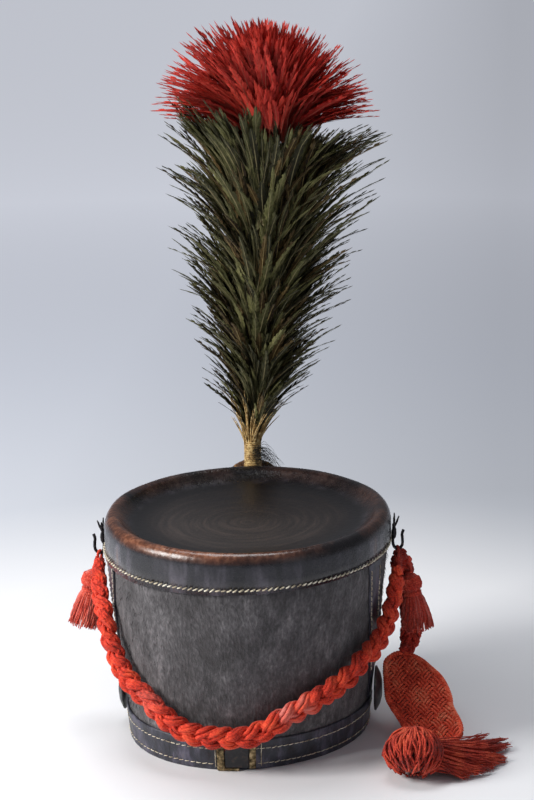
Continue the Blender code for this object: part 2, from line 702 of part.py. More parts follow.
# Big tassel: a round bunch on the floor, its neck to the flounder and its spread fringe
TASSEL_MIDDLE = Vector((0.1377, -0.0985, 0.0200))
bunch = bpy.data.meshes.new("bunch")
shape = bmesh.new()
bmesh.ops.create_uvsphere(shape, u_segments=15, v_segments=9, radius=1.0)
shape.to_mesh(bunch)
shape.free()
for vertex in bunch.vertices:
    x, y, z = vertex.co
    vertex.co = Vector((x * 0.0235, y * 0.0205, z * 0.0194))
bunch.transform(Matrix.Translation(TASSEL_MIDDLE))
# Fringe locks: foot x, foot y, bend x, bend y, tip x, tip y, width, height of the foot
FRINGE = [
    (0.148, -0.086, 0.170, -0.061, 0.1900, -0.0260, 0.010, 0.013),
    (0.149, -0.088, 0.176, -0.059, 0.1975, -0.0140, 0.010, 0.016),
    (0.150, -0.089, 0.180, -0.060, 0.2050, -0.0230, 0.011, 0.013),
    (0.151, -0.090, 0.182, -0.066, 0.2104, -0.0323, 0.011, 0.016),
    (0.151, -0.092, 0.184, -0.073, 0.2130, -0.0470, 0.011, 0.012),
    (0.151, -0.094, 0.183, -0.080, 0.2144, -0.0614, 0.011, 0.015),
    (0.151, -0.097, 0.180, -0.087, 0.2080, -0.0720, 0.011, 0.012),
    (0.150, -0.099, 0.175, -0.094, 0.1990, -0.0830, 0.011, 0.015),
    (0.148, -0.102, 0.168, -0.101, 0.1910, -0.0920, 0.011, 0.012),
    (0.146, -0.104, 0.160, -0.108, 0.1760, -0.1030, 0.010, 0.012),
    (0.139, -0.086, 0.150, -0.068, 0.1580, -0.0560, 0.010, 0.013),
]
extras = []
for fx, fy, bx, by, tx, ty, width, high in FRINGE:
    late = Vector((tx * 0.6 + bx * 0.4, ty * 0.6 + by * 0.4, 0.0048))
    points = [Vector((fx, fy, high)), Vector((bx, by, high * 0.62)), late, Vector((tx, ty, 0.0030))]
    extras.append(lock(points, [width, width, width * 0.8, width * 0.4], 0.0055, Vector((0, 0, 1))))
neck = smooth_line([(0.1372, -0.0880, 0.0170), (0.1362, -0.0680, 0.0130), (0.1356, -0.0423, 0.0092)], 6)
extras.append(tube(neck, 0.0062, 1))
finish("big_tassel", fused(bunch, extras), cord_red)
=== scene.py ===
"""Shako hat of felt and leather with a feather plume, plaited cords and tassels, seen from its back."""

import math

import bmesh
import bpy
import numpy as np
from mathutils import Matrix, Vector


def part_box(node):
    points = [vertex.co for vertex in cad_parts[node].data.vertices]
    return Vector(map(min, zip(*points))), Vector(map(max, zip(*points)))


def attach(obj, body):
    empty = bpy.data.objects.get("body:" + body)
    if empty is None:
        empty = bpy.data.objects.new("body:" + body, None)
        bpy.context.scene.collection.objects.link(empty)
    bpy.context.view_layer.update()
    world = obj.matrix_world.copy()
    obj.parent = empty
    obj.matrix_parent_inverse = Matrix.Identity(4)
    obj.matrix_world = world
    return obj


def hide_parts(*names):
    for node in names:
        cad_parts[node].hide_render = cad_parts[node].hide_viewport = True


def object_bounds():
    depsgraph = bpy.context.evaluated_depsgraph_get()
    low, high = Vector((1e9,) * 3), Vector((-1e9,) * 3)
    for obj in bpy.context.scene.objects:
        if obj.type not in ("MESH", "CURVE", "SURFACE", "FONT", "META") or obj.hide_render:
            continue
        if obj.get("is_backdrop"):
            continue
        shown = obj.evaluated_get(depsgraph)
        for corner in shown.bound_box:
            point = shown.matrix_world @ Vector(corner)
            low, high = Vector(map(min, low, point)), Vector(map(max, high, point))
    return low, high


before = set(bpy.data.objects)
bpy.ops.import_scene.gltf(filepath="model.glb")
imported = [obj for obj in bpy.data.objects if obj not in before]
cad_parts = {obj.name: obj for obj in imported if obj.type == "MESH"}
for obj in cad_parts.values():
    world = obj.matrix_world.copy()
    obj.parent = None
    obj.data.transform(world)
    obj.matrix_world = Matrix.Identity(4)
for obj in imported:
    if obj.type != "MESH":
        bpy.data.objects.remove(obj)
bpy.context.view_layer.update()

# Camera: a little above the crown, with a long lens
camera_data = bpy.data.cameras.new("camera")
camera_data.lens = 106.23
camera_data.sensor_width = 36.0
camera = bpy.data.objects.new("camera", camera_data)
bpy.context.scene.collection.objects.link(camera)
camera_right = (0.99481, 0.10091, -0.01331)
camera_up = (-0.01378, 0.26314, 0.96466)
camera_ahead = (-0.10084, 0.95947, -0.26316)
camera.matrix_world = Matrix((
    (camera_right[0], camera_up[0], -camera_ahead[0], 0.20526),
    (camera_right[1], camera_up[1], -camera_ahead[1], -1.78834),
    (camera_right[2], camera_up[2], -camera_ahead[2], 0.765),
    (0.0, 0.0, 0.0, 1.0),
))
bpy.context.scene.camera = camera


def srgb(code):
    """Linear colour of a hex code."""
    parts = [int(code[k:k + 2], 16) / 255.0 for k in (0, 2, 4)]
    return (*[c / 12.92 if c <= 0.04045 else ((c + 0.055) / 1.055) ** 2.4 for c in parts], 1.0)


def node(tree, kind, inputs=(), **settings):
    """Adds a node. inputs are (input name or number, value or output socket) pairs."""
    made = tree.nodes.new(kind)
    for name, value in settings.items():
        setattr(made, name, value)
    for name, value in inputs:
        if isinstance(value, bpy.types.NodeSocket):
            tree.links.new(value, made.inputs[name])
        else:
            made.inputs[name].default_value = value
    return made


def object_place(tree):
    """Position on the piece in its own coordinates."""
    return node(tree, "ShaderNodeTexCoord").outputs["Object"]


def noise(tree, place, scale, detail=2.0, roughness=0.5):
    """Cloudy noise around one half."""
    return node(tree, "ShaderNodeTexNoise", [("Vector", place), ("Scale", scale), ("Detail", detail),
                                             ("Roughness", roughness)]).outputs["Fac"]


def spread(tree, value, low, high, to_low=0.0, to_high=1.0):
    """Turns low to high into to_low to to_high, and holds it at both ends."""
    return node(tree, "ShaderNodeMapRange", [("Value", value), (1, low), (2, high), (3, to_low),
                                             (4, to_high)]).outputs[0]


def maths(tree, operation, *values):
    """One step of arithmetic on values or sockets."""
    return node(tree, "ShaderNodeMath", enumerate(values), operation=operation).outputs[0]


def blend(tree, share, first, second):
    """First colour where share is 0, second where it is 1."""
    return node(tree, "ShaderNodeMix", [("Factor", share), ("A", first), ("B", second)],
                data_type="RGBA").outputs["Result"]


def relief(tree, shader, height, strength, distance):
    """Lets a height raise the surface that the shader sees."""
    bump = node(tree, "ShaderNodeBump", [("Height", height), ("Strength", strength), ("Distance", distance)])
    tree.links.new(bump.outputs["Normal"], shader.inputs["Normal"])


def ramp(tree, value, stops):
    """A colour ramp over value; stops are (place, hex code) pairs."""
    made = node(tree, "ShaderNodeValToRGB", [("Fac", value)])
    made.color_ramp.elements[0].position = stops[0][0]
    made.color_ramp.elements[0].color = srgb(stops[0][1])
    made.color_ramp.elements[1].position = stops[-1][0]
    made.color_ramp.elements[1].color = srgb(stops[-1][1])
    for place, code in stops[1:-1]:
        made.color_ramp.elements.new(place).color = srgb(code)
    return made.outputs["Color"]


def tint(tree, shader, value, stops):
    """Base colour from a ramp over value."""
    tree.links.new(ramp(tree, value, stops), shader.inputs["Base Color"])


def new_material(name):
    """An empty node material with its Principled shader."""
    made = bpy.data.materials.new(name)
    made.use_nodes = True
    return made, made.node_tree, made.node_tree.nodes["Principled BSDF"]


def mottled(name, scale, detail, stops, strength, distance, roughness, metallic=0.0):
    """A material whose colour and relief follow one cloudy noise."""
    made, tree, shader = new_material(name)
    clouds = noise(tree, object_place(tree), scale, detail)
    tint(tree, shader, clouds, stops)
    relief(tree, shader, clouds, strength, distance)
    shader.inputs["Roughness"].default_value = roughness
    shader.inputs["Metallic"].default_value = metallic
    return made


def piece(name, verts, faces, skin, smooth=True, shades=None, uvs=None):
    """A finished mesh object at the origin; shades is a 0 to 1 value per vertex, uvs a pair per vertex."""
    mesh = bpy.data.meshes.new(name)
    mesh.from_pydata([tuple(v) for v in verts], [], [tuple(f) for f in faces])
    if shades is not None:
        mesh.attributes.new("shade", "FLOAT", "POINT").data.foreach_set("value", np.asarray(shades, "f"))
    if uvs is not None:
        loops = np.empty(len(mesh.loops), "i")
        mesh.loops.foreach_get("vertex_index", loops)
        mesh.uv_layers.new(name="along").data.foreach_set("uv", np.asarray(uvs, "f")[loops].ravel())
    mesh.polygons.foreach_set("use_smooth", [smooth] * len(mesh.polygons))
    mesh.materials.append(skin)
    mesh.update()
    made = bpy.data.objects.new(name, mesh)
    bpy.context.scene.collection.objects.link(made)
    return made


def unit_long(rows):
    """The same vectors, one long."""
    return rows / np.linalg.norm(rows, axis=-1, keepdims=True)


def outward(azimuth):
    """Level vectors away from the hat's middle."""
    return np.stack([np.cos(azimuth), np.sin(azimuth), np.zeros(len(azimuth))], 1)


def seat(made, slot_name, *nodes):
    """The piece rides on the hat and stands for the CAD nodes; slot_name is not used."""
    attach(made, "root")
    if nodes:
        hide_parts(*nodes)
    return made


def smooth_line(route, count):
    """Evenly spaced points of a smooth curve through route points."""
    knots = [Vector(p) for p in route]
    knots = [knots[0] * 2 - knots[1]] + knots + [knots[-1] * 2 - knots[-2]]
    fine = []
    for i in range(1, len(knots) - 2):
        a, b, c, d = knots[i - 1:i + 3]
        for j in range(16):
            t = j / 16
            fine.append(0.5 * (2 * b + (c - a) * t + (2 * a - 5 * b + 4 * c - d) * t * t
                               + (3 * b - a - 3 * c + d) * t ** 3))
    fine.append(knots[-2])
    walked = np.concatenate([[0.0], np.cumsum([(b - a).length for a, b in zip(fine, fine[1:])])])
    marks = np.linspace(0.0, walked[-1], count)
    return np.stack([np.interp(marks, walked, [p[k] for p in fine]) for k in range(3)], 1)


def strands(name, lines, widths, skin, sides=6, shades=None):
    """One mesh of closed tapering tubes. lines is (strand, point, xyz); widths is (strand, point) radii."""
    lines = np.asarray(lines, float)
    widths = np.broadcast_to(np.asarray(widths, float), lines.shape[:2])
    count, points = lines.shape[:2]
    ahead = np.gradient(lines, axis=1)
    ahead /= np.linalg.norm(ahead, axis=2, keepdims=True) + 1e-12
    side = np.cross(ahead, np.array([0.0, 0.0, 1.0]))
    weak = np.linalg.norm(side, axis=2, keepdims=True) < 0.05
    side = np.where(weak, np.cross(ahead, np.array([0.3, 0.9, 0.1])), side)
    side /= np.linalg.norm(side, axis=2, keepdims=True) + 1e-12
    rise = np.cross(side, ahead)
    turn = np.arange(sides) * 2 * math.pi / sides
    ring = (side[:, :, None] * np.cos(turn)[None, None, :, None]
            + rise[:, :, None] * np.sin(turn)[None, None, :, None])
    verts = (lines[:, :, None] + ring * widths[:, :, None, None]).reshape(-1, 3)
    one = []
    for k in range(points - 1):
        for s in range(sides):
            t = (s + 1) % sides
            one.append((k * sides + s, k * sides + t, (k + 1) * sides + t, (k + 1) * sides + s))
    one = np.array(one)
    faces = (one[None] + (np.arange(count) * points * sides)[:, None, None]).reshape(-1, 4).tolist()
    for n in range(count):
        base = n * points * sides
        faces.append([base + s for s in range(sides)][::-1])
        faces.append([base + (points - 1) * sides + s for s in range(sides)])
    along = np.repeat(np.tile(np.linspace(0, 1, points), count), sides)
    round_it = np.tile(np.arange(sides) / sides, count * points)
    tone = None if shades is None else np.repeat(np.asarray(shades).ravel(), sides)
    return piece(name, verts, faces, skin, True, tone, np.stack([round_it, along], 1))


# Festoon: a plait of three wool cords that hangs from hook to hook across the back.
# Each of the three is itself a bundle of thin twisted yarns, worn pale and frayed at its lowest part.
FESTOON_ROUTE = [
    (-0.1208, -0.0040, 0.1378),
    (-0.1198, -0.0128, 0.1290),
    (-0.1174, -0.0236, 0.1216),
    (-0.1136, -0.0363, 0.1153),
    (-0.1086, -0.0498, 0.1069),
    (-0.1043, -0.0572, 0.0913),
    (-0.0892, -0.0759, 0.0687),
    (-0.0712, -0.0917, 0.0572),
    (-0.0537, -0.1010, 0.0440),
    (-0.0350, -0.1069, 0.0354),
    (-0.0105, -0.1101, 0.0333),
    (0.0127, -0.1083, 0.0349),
    (0.0303, -0.1049, 0.0440),
    (0.0462, -0.0994, 0.0521),
    (0.0663, -0.0883, 0.0614),
    (0.0825, -0.0752, 0.0698),
    (0.0957, -0.0608, 0.0803),
    (0.1057, -0.0446, 0.0877),
    (0.1121, -0.0314, 0.0979),
    (0.1158, -0.0230, 0.1084),
    (0.1187, -0.0137, 0.1194),
    (0.1204, -0.0060, 0.1300),
    (0.1204, -0.0022, 0.1385),
]


def wool(name, dark, middle, light, twist):
    """Wool yarn: twisted fibres along the piece's own UV, felted and faded where it has rubbed."""
    made, tree, shader = new_material(name)
    place = object_place(tree)
    along = node(tree, "ShaderNodeUVMap", uv_map="along").outputs["UV"]
    split = node(tree, "ShaderNodeSeparateXYZ", [("Vector", along)])
    turned_by = maths(tree, "MULTIPLY", split.outputs["Y"], twist)
    phase = maths(tree, "ADD", split.outputs["X"], turned_by)
    wave = maths(tree, "MULTIPLY", phase, 12.566)
    ply = maths(tree, "SINE", wave)
    fluff = noise(tree, place, 900.0, 4.0)
    patches = noise(tree, place, 60.0, 3.0)
    worn = node(tree, "ShaderNodeAttribute", attribute_name="shade")
    mixed = maths(tree, "ADD", fluff, patches)
    half = maths(tree, "MULTIPLY", mixed, 0.5)
    base = ramp(tree, half, [(0.34, dark), (0.50, middle), (0.66, light)])
    faded = blend(tree, worn.outputs["Fac"], base, srgb("e2857a"))
    tree.links.new(faded, shader.inputs["Base Color"])
    height = maths(tree, "ADD", ply, fluff)
    relief(tree, shader, height, 0.5, 0.0005)
    shader.inputs["Roughness"].default_value = 0.92
    shader.inputs["Sheen Weight"].default_value = 0.06
    return made


def plait(line, facing, period, wide, deep, strand, yarns, yarn, twist, seed):
    """Yarn centrelines of a three cord plait along a line: (yarn, point, xyz)."""
    chance = np.random.default_rng(seed)
    ahead = np.gradient(line, axis=0)
    step = np.linalg.norm(ahead, axis=1)
    ahead /= step[:, None]
    walked = np.cumsum(step) - step[0]
    out = unit_long(facing - (facing * ahead).sum(1)[:, None] * ahead)
    side = np.cross(ahead, out)
    ends = np.clip(np.minimum(walked, walked[-1] - walked) / 0.012, 0.70, 1.0)
    found = []
    for k in range(3):
        turn = 2 * math.pi * (walked / period + k / 3) + 0.35 * np.sin(walked * 61 + k)
        centre = (line + side * (np.sin(turn) * wide * ends)[:, None]
                  + out * (np.sin(2 * turn) * deep * ends)[:, None])
        way = np.gradient(centre, axis=0)
        way = unit_long(way)
        lift = np.cross(side, way)
        lift = unit_long(lift)
        beside = np.cross(way, lift)
        for n in range(yarns):
            inner = n == yarns - 1
            spin = 2 * math.pi * n / (yarns - 1) + walked * twist + k + 0.25 * chance.normal()
            reach = 0.0 if inner else (strand - yarn) * (0.94 + 0.10 * chance.random())
            drift = np.interp(walked, np.linspace(0, walked[-1], 30), chance.normal(0, 0.00018, 30))
            found.append(centre + (beside * np.cos(spin)[:, None] + lift * np.sin(spin)[:, None])
                         * (reach * ends + drift)[:, None])
    return np.array(found), walked


def fibres(line_sets, count, reach, length, seed):
    """Loose bent hairs that stand off the yarns: (hair, point, xyz)."""
    chance = np.random.default_rng(seed)
    flat = line_sets.reshape(-1, 3)
    roots = flat[chance.integers(0, len(flat), count)]
    ways = chance.normal(size=(count, 3))
    ways = unit_long(ways)
    bends = chance.normal(size=(count, 3)) * 0.5
    marks = np.linspace(0.0, 1.0, 4)[None, :, None]
    long = length * (0.5 + chance.random(count))[:, None, None]
    return roots[:, None] + ways[:, None] * (reach + long * marks) + bends[:, None] * long * marks ** 2


festoon_line = smooth_line(FESTOON_ROUTE, 330)
festoon_out = festoon_line * np.array([1.0, 1.0, 0.0])
festoon_yarns, festoon_walk = plait(festoon_line, festoon_out, 0.041, 0.0050, 0.0027, 0.0044, 8, 0.00165,
                                    110.0, 3)
festoon_share = festoon_walk / festoon_walk[-1]
festoon_worn = (0.75 * np.exp(-((festoon_share - 0.612) / 0.013) ** 2)
                + 0.60 * np.exp(-((festoon_share - 0.648) / 0.010) ** 2)
                + 0.25 * np.exp(-((festoon_share - 0.33) / 0.02) ** 2))
festoon_wool = wool("scarlet_wool_cord", "8a180c", "d8381f", "ee6038", 60.0)
festoon_shade = festoon_worn * np.random.default_rng(4).uniform(0.2, 1.3, (len(festoon_yarns), 1))
festoon = strands("festoon", festoon_yarns, 0.00178, festoon_wool, 5, festoon_shade)
seat(festoon, "red_wool", "festoon")
festoon_hairs = fibres(festoon_yarns, 1400, 0.0009, 0.0022, 5)
festoon_fluff = strands("festoon_fluff", festoon_hairs, [[0.00009, 0.00008, 0.00007, 0.00003]], festoon_wool,
                        3)
seat(festoon_fluff, "red_wool")

# Hanging cord: the same wool cords plaited tight in a narrow strap, from the right hook to the flounder.
# It hangs behind the small tassel and turns back under the top of the flounder.
HANGING_ROUTE = [
    (0.1210, 0.0087, 0.1454),
    (0.1226, 0.0215, 0.1330),
    (0.1248, 0.0340, 0.1160),
    (0.1272, 0.0415, 0.0960),
    (0.1294, 0.0432, 0.0780),
    (0.1298, 0.0370, 0.0665),
    (0.1264, 0.0238, 0.0549),
]
hanging_line = smooth_line(HANGING_ROUTE, 130)
hanging_out = np.broadcast_to(np.array([0.25, -1.0, 0.1]), hanging_line.shape)
hanging_yarns = plait(hanging_line, hanging_out, 0.021, 0.0052, 0.0022, 0.0042, 7, 0.0015, 160.0, 9)[0]
hanging_wool = wool("shaded_wool_cord", "73140c", "bb2f1f", "dd5035", 40.0)
hanging = strands("hanging_cord", hanging_yarns, 0.00148, hanging_wool, 5)
seat(hanging, "red_wool", "hanging_cord")

# Flounder: a flat knot woven over and under from the same cords, in groups of three, on the floor side
# of the hat. Its outline is the one of the CAD solid: height along the slope, left and right edge.
FLOUNDER_ORIGIN = np.array((0.1348, -0.0370, 0.0122))
FLOUNDER_ACROSS = np.array((0.9945, 0.1045, 0.0))
FLOUNDER_UP = np.array((-0.0859, 0.8177, 0.5692))
FLOUNDER_OUT = np.array((0.0595, -0.5661, 0.8222))
FLOUNDER_ROWS = np.array([
    (-0.0090, 0.0150, 0.0330),
    (-0.0035, 0.0000, 0.0390),
    (0.0029, -0.0074, 0.0398),
    (0.0090, -0.0100, 0.0385),
    (0.0162, -0.0136, 0.0356),
    (0.0230, -0.0172, 0.0333),
    (0.0315, -0.0203, 0.0328),
    (0.0410, -0.0210, 0.0303),
    (0.0507, -0.0211, 0.0260),
    (0.0597, -0.0210, 0.0185),
    (0.0676, -0.0195, 0.0108),
    (0.0735, -0.0120, 0.0000),
])
CORD_PITCH = 0.0027
flounder_lines = []
WEAVE_POINTS = 260
for lean in (1.0, -1.0):
    way = np.array((lean * 0.62, 0.785))
    across = np.array((way[1], -way[0]))
    for n in range(-46, 47):
        walk = np.linspace(-0.09, 0.11, WEAVE_POINTS)
        spot = across[None] * n * CORD_PITCH + way[None] * walk[:, None]
        left = np.interp(spot[:, 1], FLOUNDER_ROWS[:, 0], FLOUNDER_ROWS[:, 1])
        right = np.interp(spot[:, 1], FLOUNDER_ROWS[:, 0], FLOUNDER_ROWS[:, 2])
        good = ((spot[:, 1] > -0.0085) & (spot[:, 1] < 0.0732)
                & (spot[:, 0] > left + 0.0004) & (spot[:, 0] < right - 0.0004))
        if good.sum() < 8:
            continue
        first, last = np.flatnonzero(good)[[0, -1]]
        marks = np.linspace(first, last, 48)
        u = np.interp(marks, np.arange(WEAVE_POINTS), spot[:, 0])
        v = np.interp(marks, np.arange(WEAVE_POINTS), spot[:, 1])
        other = (u * 0.785 + v * lean * 0.62) / (3 * CORD_PITCH) - 0.333
        group = math.floor(n / 3)
        height = 0.0022 * np.tanh(1.6 * np.cos(math.pi * (other + group))) * (1.0 if lean > 0 else -1.0)
        tuck = np.clip(np.minimum(marks - first, last - marks) / 6.0, 0.0, 1.0)
        height = height * tuck
        flounder_lines.append(FLOUNDER_ORIGIN + FLOUNDER_ACROSS * u[:, None] + FLOUNDER_UP * v[:, None]
                              + FLOUNDER_OUT * height[:, None])
flounder_wool = wool("woven_wool_cord", "a8281a", "f4583a", "ff9c74", 14.0)
flounder = strands("flounder", flounder_lines, 0.00124, flounder_wool, 5)
seat(flounder, "red_wool", "flounder")
rim_left = [(v, a + 0.0018) for v, a, b in FLOUNDER_ROWS]
rim_right = [(v, b - 0.0018) for v, a, b in FLOUNDER_ROWS[::-1]]
rim_route = [FLOUNDER_ORIGIN + FLOUNDER_ACROSS * u + FLOUNDER_UP * v for v, u in rim_left + rim_right]
rim_line = smooth_line([tuple(p) for p in rim_route + [rim_route[0]]], 300)
rim_turn = np.linspace(0, 2 * math.pi * 34, 300)
rim_around = np.cross(np.gradient(rim_line, axis=0), FLOUNDER_OUT)
rim_around = unit_long(rim_around)
rim_cords = [rim_line + rim_around * (0.0013 * np.cos(rim_turn + s))[:, None]
             + FLOUNDER_OUT * (0.0016 * np.sin(rim_turn + s))[:, None] for s in (0.0, 2.09, 4.19)]
flounder_rim = strands("flounder_rim", rim_cords, 0.00140, flounder_wool, 6)
seat(flounder_rim, "red_wool")
BACK_COLUMNS = 9
back_verts = []
for v, left, right in FLOUNDER_ROWS:
    for share in np.linspace(0.06, 0.94, BACK_COLUMNS):
        for deep in (-0.0009, 0.0009):
            back_verts.append(FLOUNDER_ORIGIN + FLOUNDER_ACROSS * (left + (right - left) * share)
                              + FLOUNDER_UP * v + FLOUNDER_OUT * deep)
row = 2 * BACK_COLUMNS
back_faces = []
for start in range(0, len(back_verts) - row, row):
    for a in range(start, start + row - 2, 2):
        back_faces += [(a + 1, a + 3, a + row + 3, a + row + 1), (a, a + row, a + row + 2, a + 2)]
    a, b = start, start + row - 2
    back_faces += [(a, a + 1, a + row + 1, a + row), (b + 1, b, b + row, b + row + 1)]
last = len(back_verts) - row
back_faces += [(a, a + 2, a + 3, a + 1) for a in range(0, row - 2, 2)]
back_faces += [(a, a + 1, a + 3, a + 2) for a in range(last, last + row - 2, 2)]
# The core behind the weave is a near-black red sheet: painted shade in the gaps between the cords.
painted_shade_wool = wool("painted_shade_wool", "2c0604", "400a07", "58100b", 3.0)
flounder_core = piece("flounder_core", back_verts, back_faces, painted_shade_wool, False, None,
                      np.zeros((len(back_verts), 2)))
seat(flounder_core, "red_wool")

# Big tassel: a soft mop of loose wool cords tied under the flounder, and its fringe spread over the floor.
# The mop's cords fall over a round bunch; the fringe runs out to the right and to the back.
tassel_chance = np.random.default_rng(21)
BUNCH_MIDDLE = np.array((0.1377, -0.0985, 0.0205))
BUNCH_SIZE = np.array((0.0228, 0.0198, 0.0188))
MOP_CORDS = 260
FRINGE_CORDS = 360
FRINGE_LOCKS = 26
# Fringe tips in order round the bunch: foot x, foot y, bend x, bend y, tip x, tip y
FRINGE = np.array([
    (0.139, -0.086, 0.150, -0.068, 0.1580, -0.0560),
    (0.148, -0.086, 0.170, -0.061, 0.1900, -0.0260),
    (0.149, -0.088, 0.176, -0.059, 0.1985, -0.0135),
    (0.150, -0.089, 0.180, -0.060, 0.2070, -0.0200),
    (0.151, -0.090, 0.182, -0.066, 0.2120, -0.0323),
    (0.151, -0.092, 0.184, -0.073, 0.2140, -0.0470),
    (0.151, -0.094, 0.183, -0.080, 0.2165, -0.0614),
    (0.151, -0.097, 0.180, -0.087, 0.2090, -0.0720),
    (0.150, -0.099, 0.175, -0.094, 0.2010, -0.0830),
    (0.148, -0.102, 0.168, -0.101, 0.1930, -0.0920),
    (0.146, -0.104, 0.160, -0.108, 0.1780, -0.1030),
    (0.142, -0.106, 0.151, -0.112, 0.1640, -0.1130),
])
pole = np.array((0.05, 0.62, 0.78))
pole = unit_long(pole)
pole_side = np.cross(pole, (1.0, 0.0, 0.0))
pole_side = unit_long(pole_side)
pole_other = np.cross(pole, pole_side)
mop_lines = []
for n in range(MOP_CORDS):
    start_turn = 2 * math.pi * n / MOP_CORDS * 7.0 + tassel_chance.normal() * 0.15
    fall = np.linspace(0.10, 1.7 + 1.1 * tassel_chance.random(), 16)
    turn = start_turn + 0.6 * tassel_chance.normal() * (fall / 3) ** 2 + 0.07 * np.sin(fall * 4 + n)
    reach = 0.74 + 0.28 * tassel_chance.random() + 0.05 * np.sin(fall * 4 + n * 1.7)
    ball = (pole * np.cos(fall)[:, None] + pole_side * (np.sin(fall) * np.cos(turn))[:, None]
            + pole_other * (np.sin(fall) * np.sin(turn))[:, None])
    line = BUNCH_MIDDLE + ball * BUNCH_SIZE * reach[:, None]
    line[:, 2] = np.maximum(line[:, 2], 0.0016 + 0.002 * tassel_chance.random())
    mop_lines.append(line)
fringe_lines = []
locks = []
for n in range(FRINGE_LOCKS):
    spot = tassel_chance.random() * (len(FRINGE) - 1)
    locks.append((spot, 0.52 + 0.56 * tassel_chance.random() ** 0.7, tassel_chance.normal(0, 1, 3)))
for n in range(FRINGE_CORDS):
    spot, share, way = locks[n % FRINGE_LOCKS]
    row = np.array([np.interp(spot, np.arange(len(FRINGE)), FRINGE[:, k]) for k in range(6)])
    short = share * (1.0 - 0.30 * tassel_chance.random() ** 2)
    foot = np.array((row[0] - 0.006, row[1], 0.004 + 0.024 * tassel_chance.random()))
    bend = np.array((row[2], row[3], 0.0065 + 0.010 * tassel_chance.random()))
    bend[:2] += tassel_chance.normal(0, 0.0030, 2)
    tip = np.array((row[4], row[5], 0.0016 + 0.0030 * tassel_chance.random()))
    tip[:2] = row[2:4] + (tip[:2] - row[2:4]) * short + tassel_chance.normal(0, 0.0011, 2)
    s = np.linspace(0, 1, 14)[:, None]
    line = foot * (1 - s) ** 2 + bend * 2 * s * (1 - s) + tip * s ** 2
    curl = (0.6 * way + 0.5 * tassel_chance.normal(0, 1, 3)) * np.array((0.0020, 0.0020, 0.0010))
    line = line + np.sin(s * 8 + n % FRINGE_LOCKS) * curl * s
    line[:, 2] = np.maximum(line[:, 2], 0.0012)
    fringe_lines.append(line)
tassel_wool = wool("loose_wool_cord", "5c0f09", "bd301c", "ea6a44", 30.0)
tassel_mop = strands("big_tassel", mop_lines, 0.00097, tassel_wool, 4)
seat(tassel_mop, "red_wool", "big_tassel")
fringe_taper = np.broadcast_to(np.linspace(0.00078, 0.00028, 14), (FRINGE_CORDS, 14))
tassel_fringe = strands("big_tassel_fringe", fringe_lines, fringe_taper, tassel_wool, 4)
seat(tassel_fringe, "red_wool")
neck_line = smooth_line([(0.1366, -0.0890, 0.0250), (0.1362, -0.0720, 0.0170), (0.1358, -0.0560, 0.0125),
                         (0.1356, -0.0423, 0.0110)], 60)
neck_out = np.broadcast_to(np.array([0.0, -0.4, 1.0]), neck_line.shape)
neck_yarns = plait(neck_line, neck_out, 0.018, 0.0030, 0.0015, 0.0034, 7, 0.0012, 300.0, 12)[0]
neck_yarns[:, :, 2] = np.maximum(neck_yarns[:, :, 2], 0.0020)
tassel_neck = strands("big_tassel_neck", neck_yarns, 0.0013, tassel_wool, 6)
seat(tassel_neck, "red_wool")
# The ball inside the mop takes the same near-black red: painted shade between the loose cords.
core_ball = bpy.data.meshes.new("big_tassel_core")
core_shape = bmesh.new()
bmesh.ops.create_uvsphere(core_shape, u_segments=32, v_segments=20, radius=1.0)
core_shape.to_mesh(core_ball)
core_shape.free()
core_verts = [tuple(BUNCH_MIDDLE + np.array(v.co) * BUNCH_SIZE * 0.80) for v in core_ball.vertices]
core_faces = [tuple(f.vertices) for f in core_ball.polygons]
bpy.data.meshes.remove(core_ball)
tassel_core = piece("big_tassel_core", core_verts, core_faces, flounder_core.data.materials[0], True, None,
                    np.zeros((len(core_verts), 2)))
seat(tassel_core, "red_wool")
tassel_hairs = fibres(np.array(fringe_lines)[:, 4:], 1000, 0.0004, 0.0022, 8)
tassel_hairs[:, :, 2] = np.maximum(tassel_hairs[:, :, 2], 0.0006)
fluff_widths = [[0.00010, 0.00009, 0.00007, 0.00003]]
tassel_fluff = strands("big_tassel_fluff", tassel_hairs, fluff_widths, tassel_wool, 3)
seat(tassel_fluff, "red_wool")

# Small tassels: a wrapped head with a round knot above it and a flared skirt of fine threads.
# They hang on a short thread behind the festoon, one at each hook.
# Columns: name, top, foot, flattening, thread of the tie
SMALL_TASSELS = [
    ("small_tassel_left", (-0.1268, 0.0068, 0.1277), (-0.1372, 0.0068, 0.0756), 0.80,
     [(-0.1255, 0.0062, 0.1345), (-0.1237, 0.0045, 0.1394)]),
    ("small_tassel_right", (0.1289, 0.0176, 0.1268), (0.1368, 0.0195, 0.0757), 0.72,
     [(0.1303, 0.0161, 0.1312), (0.1290, 0.0100, 0.1390)]),
]
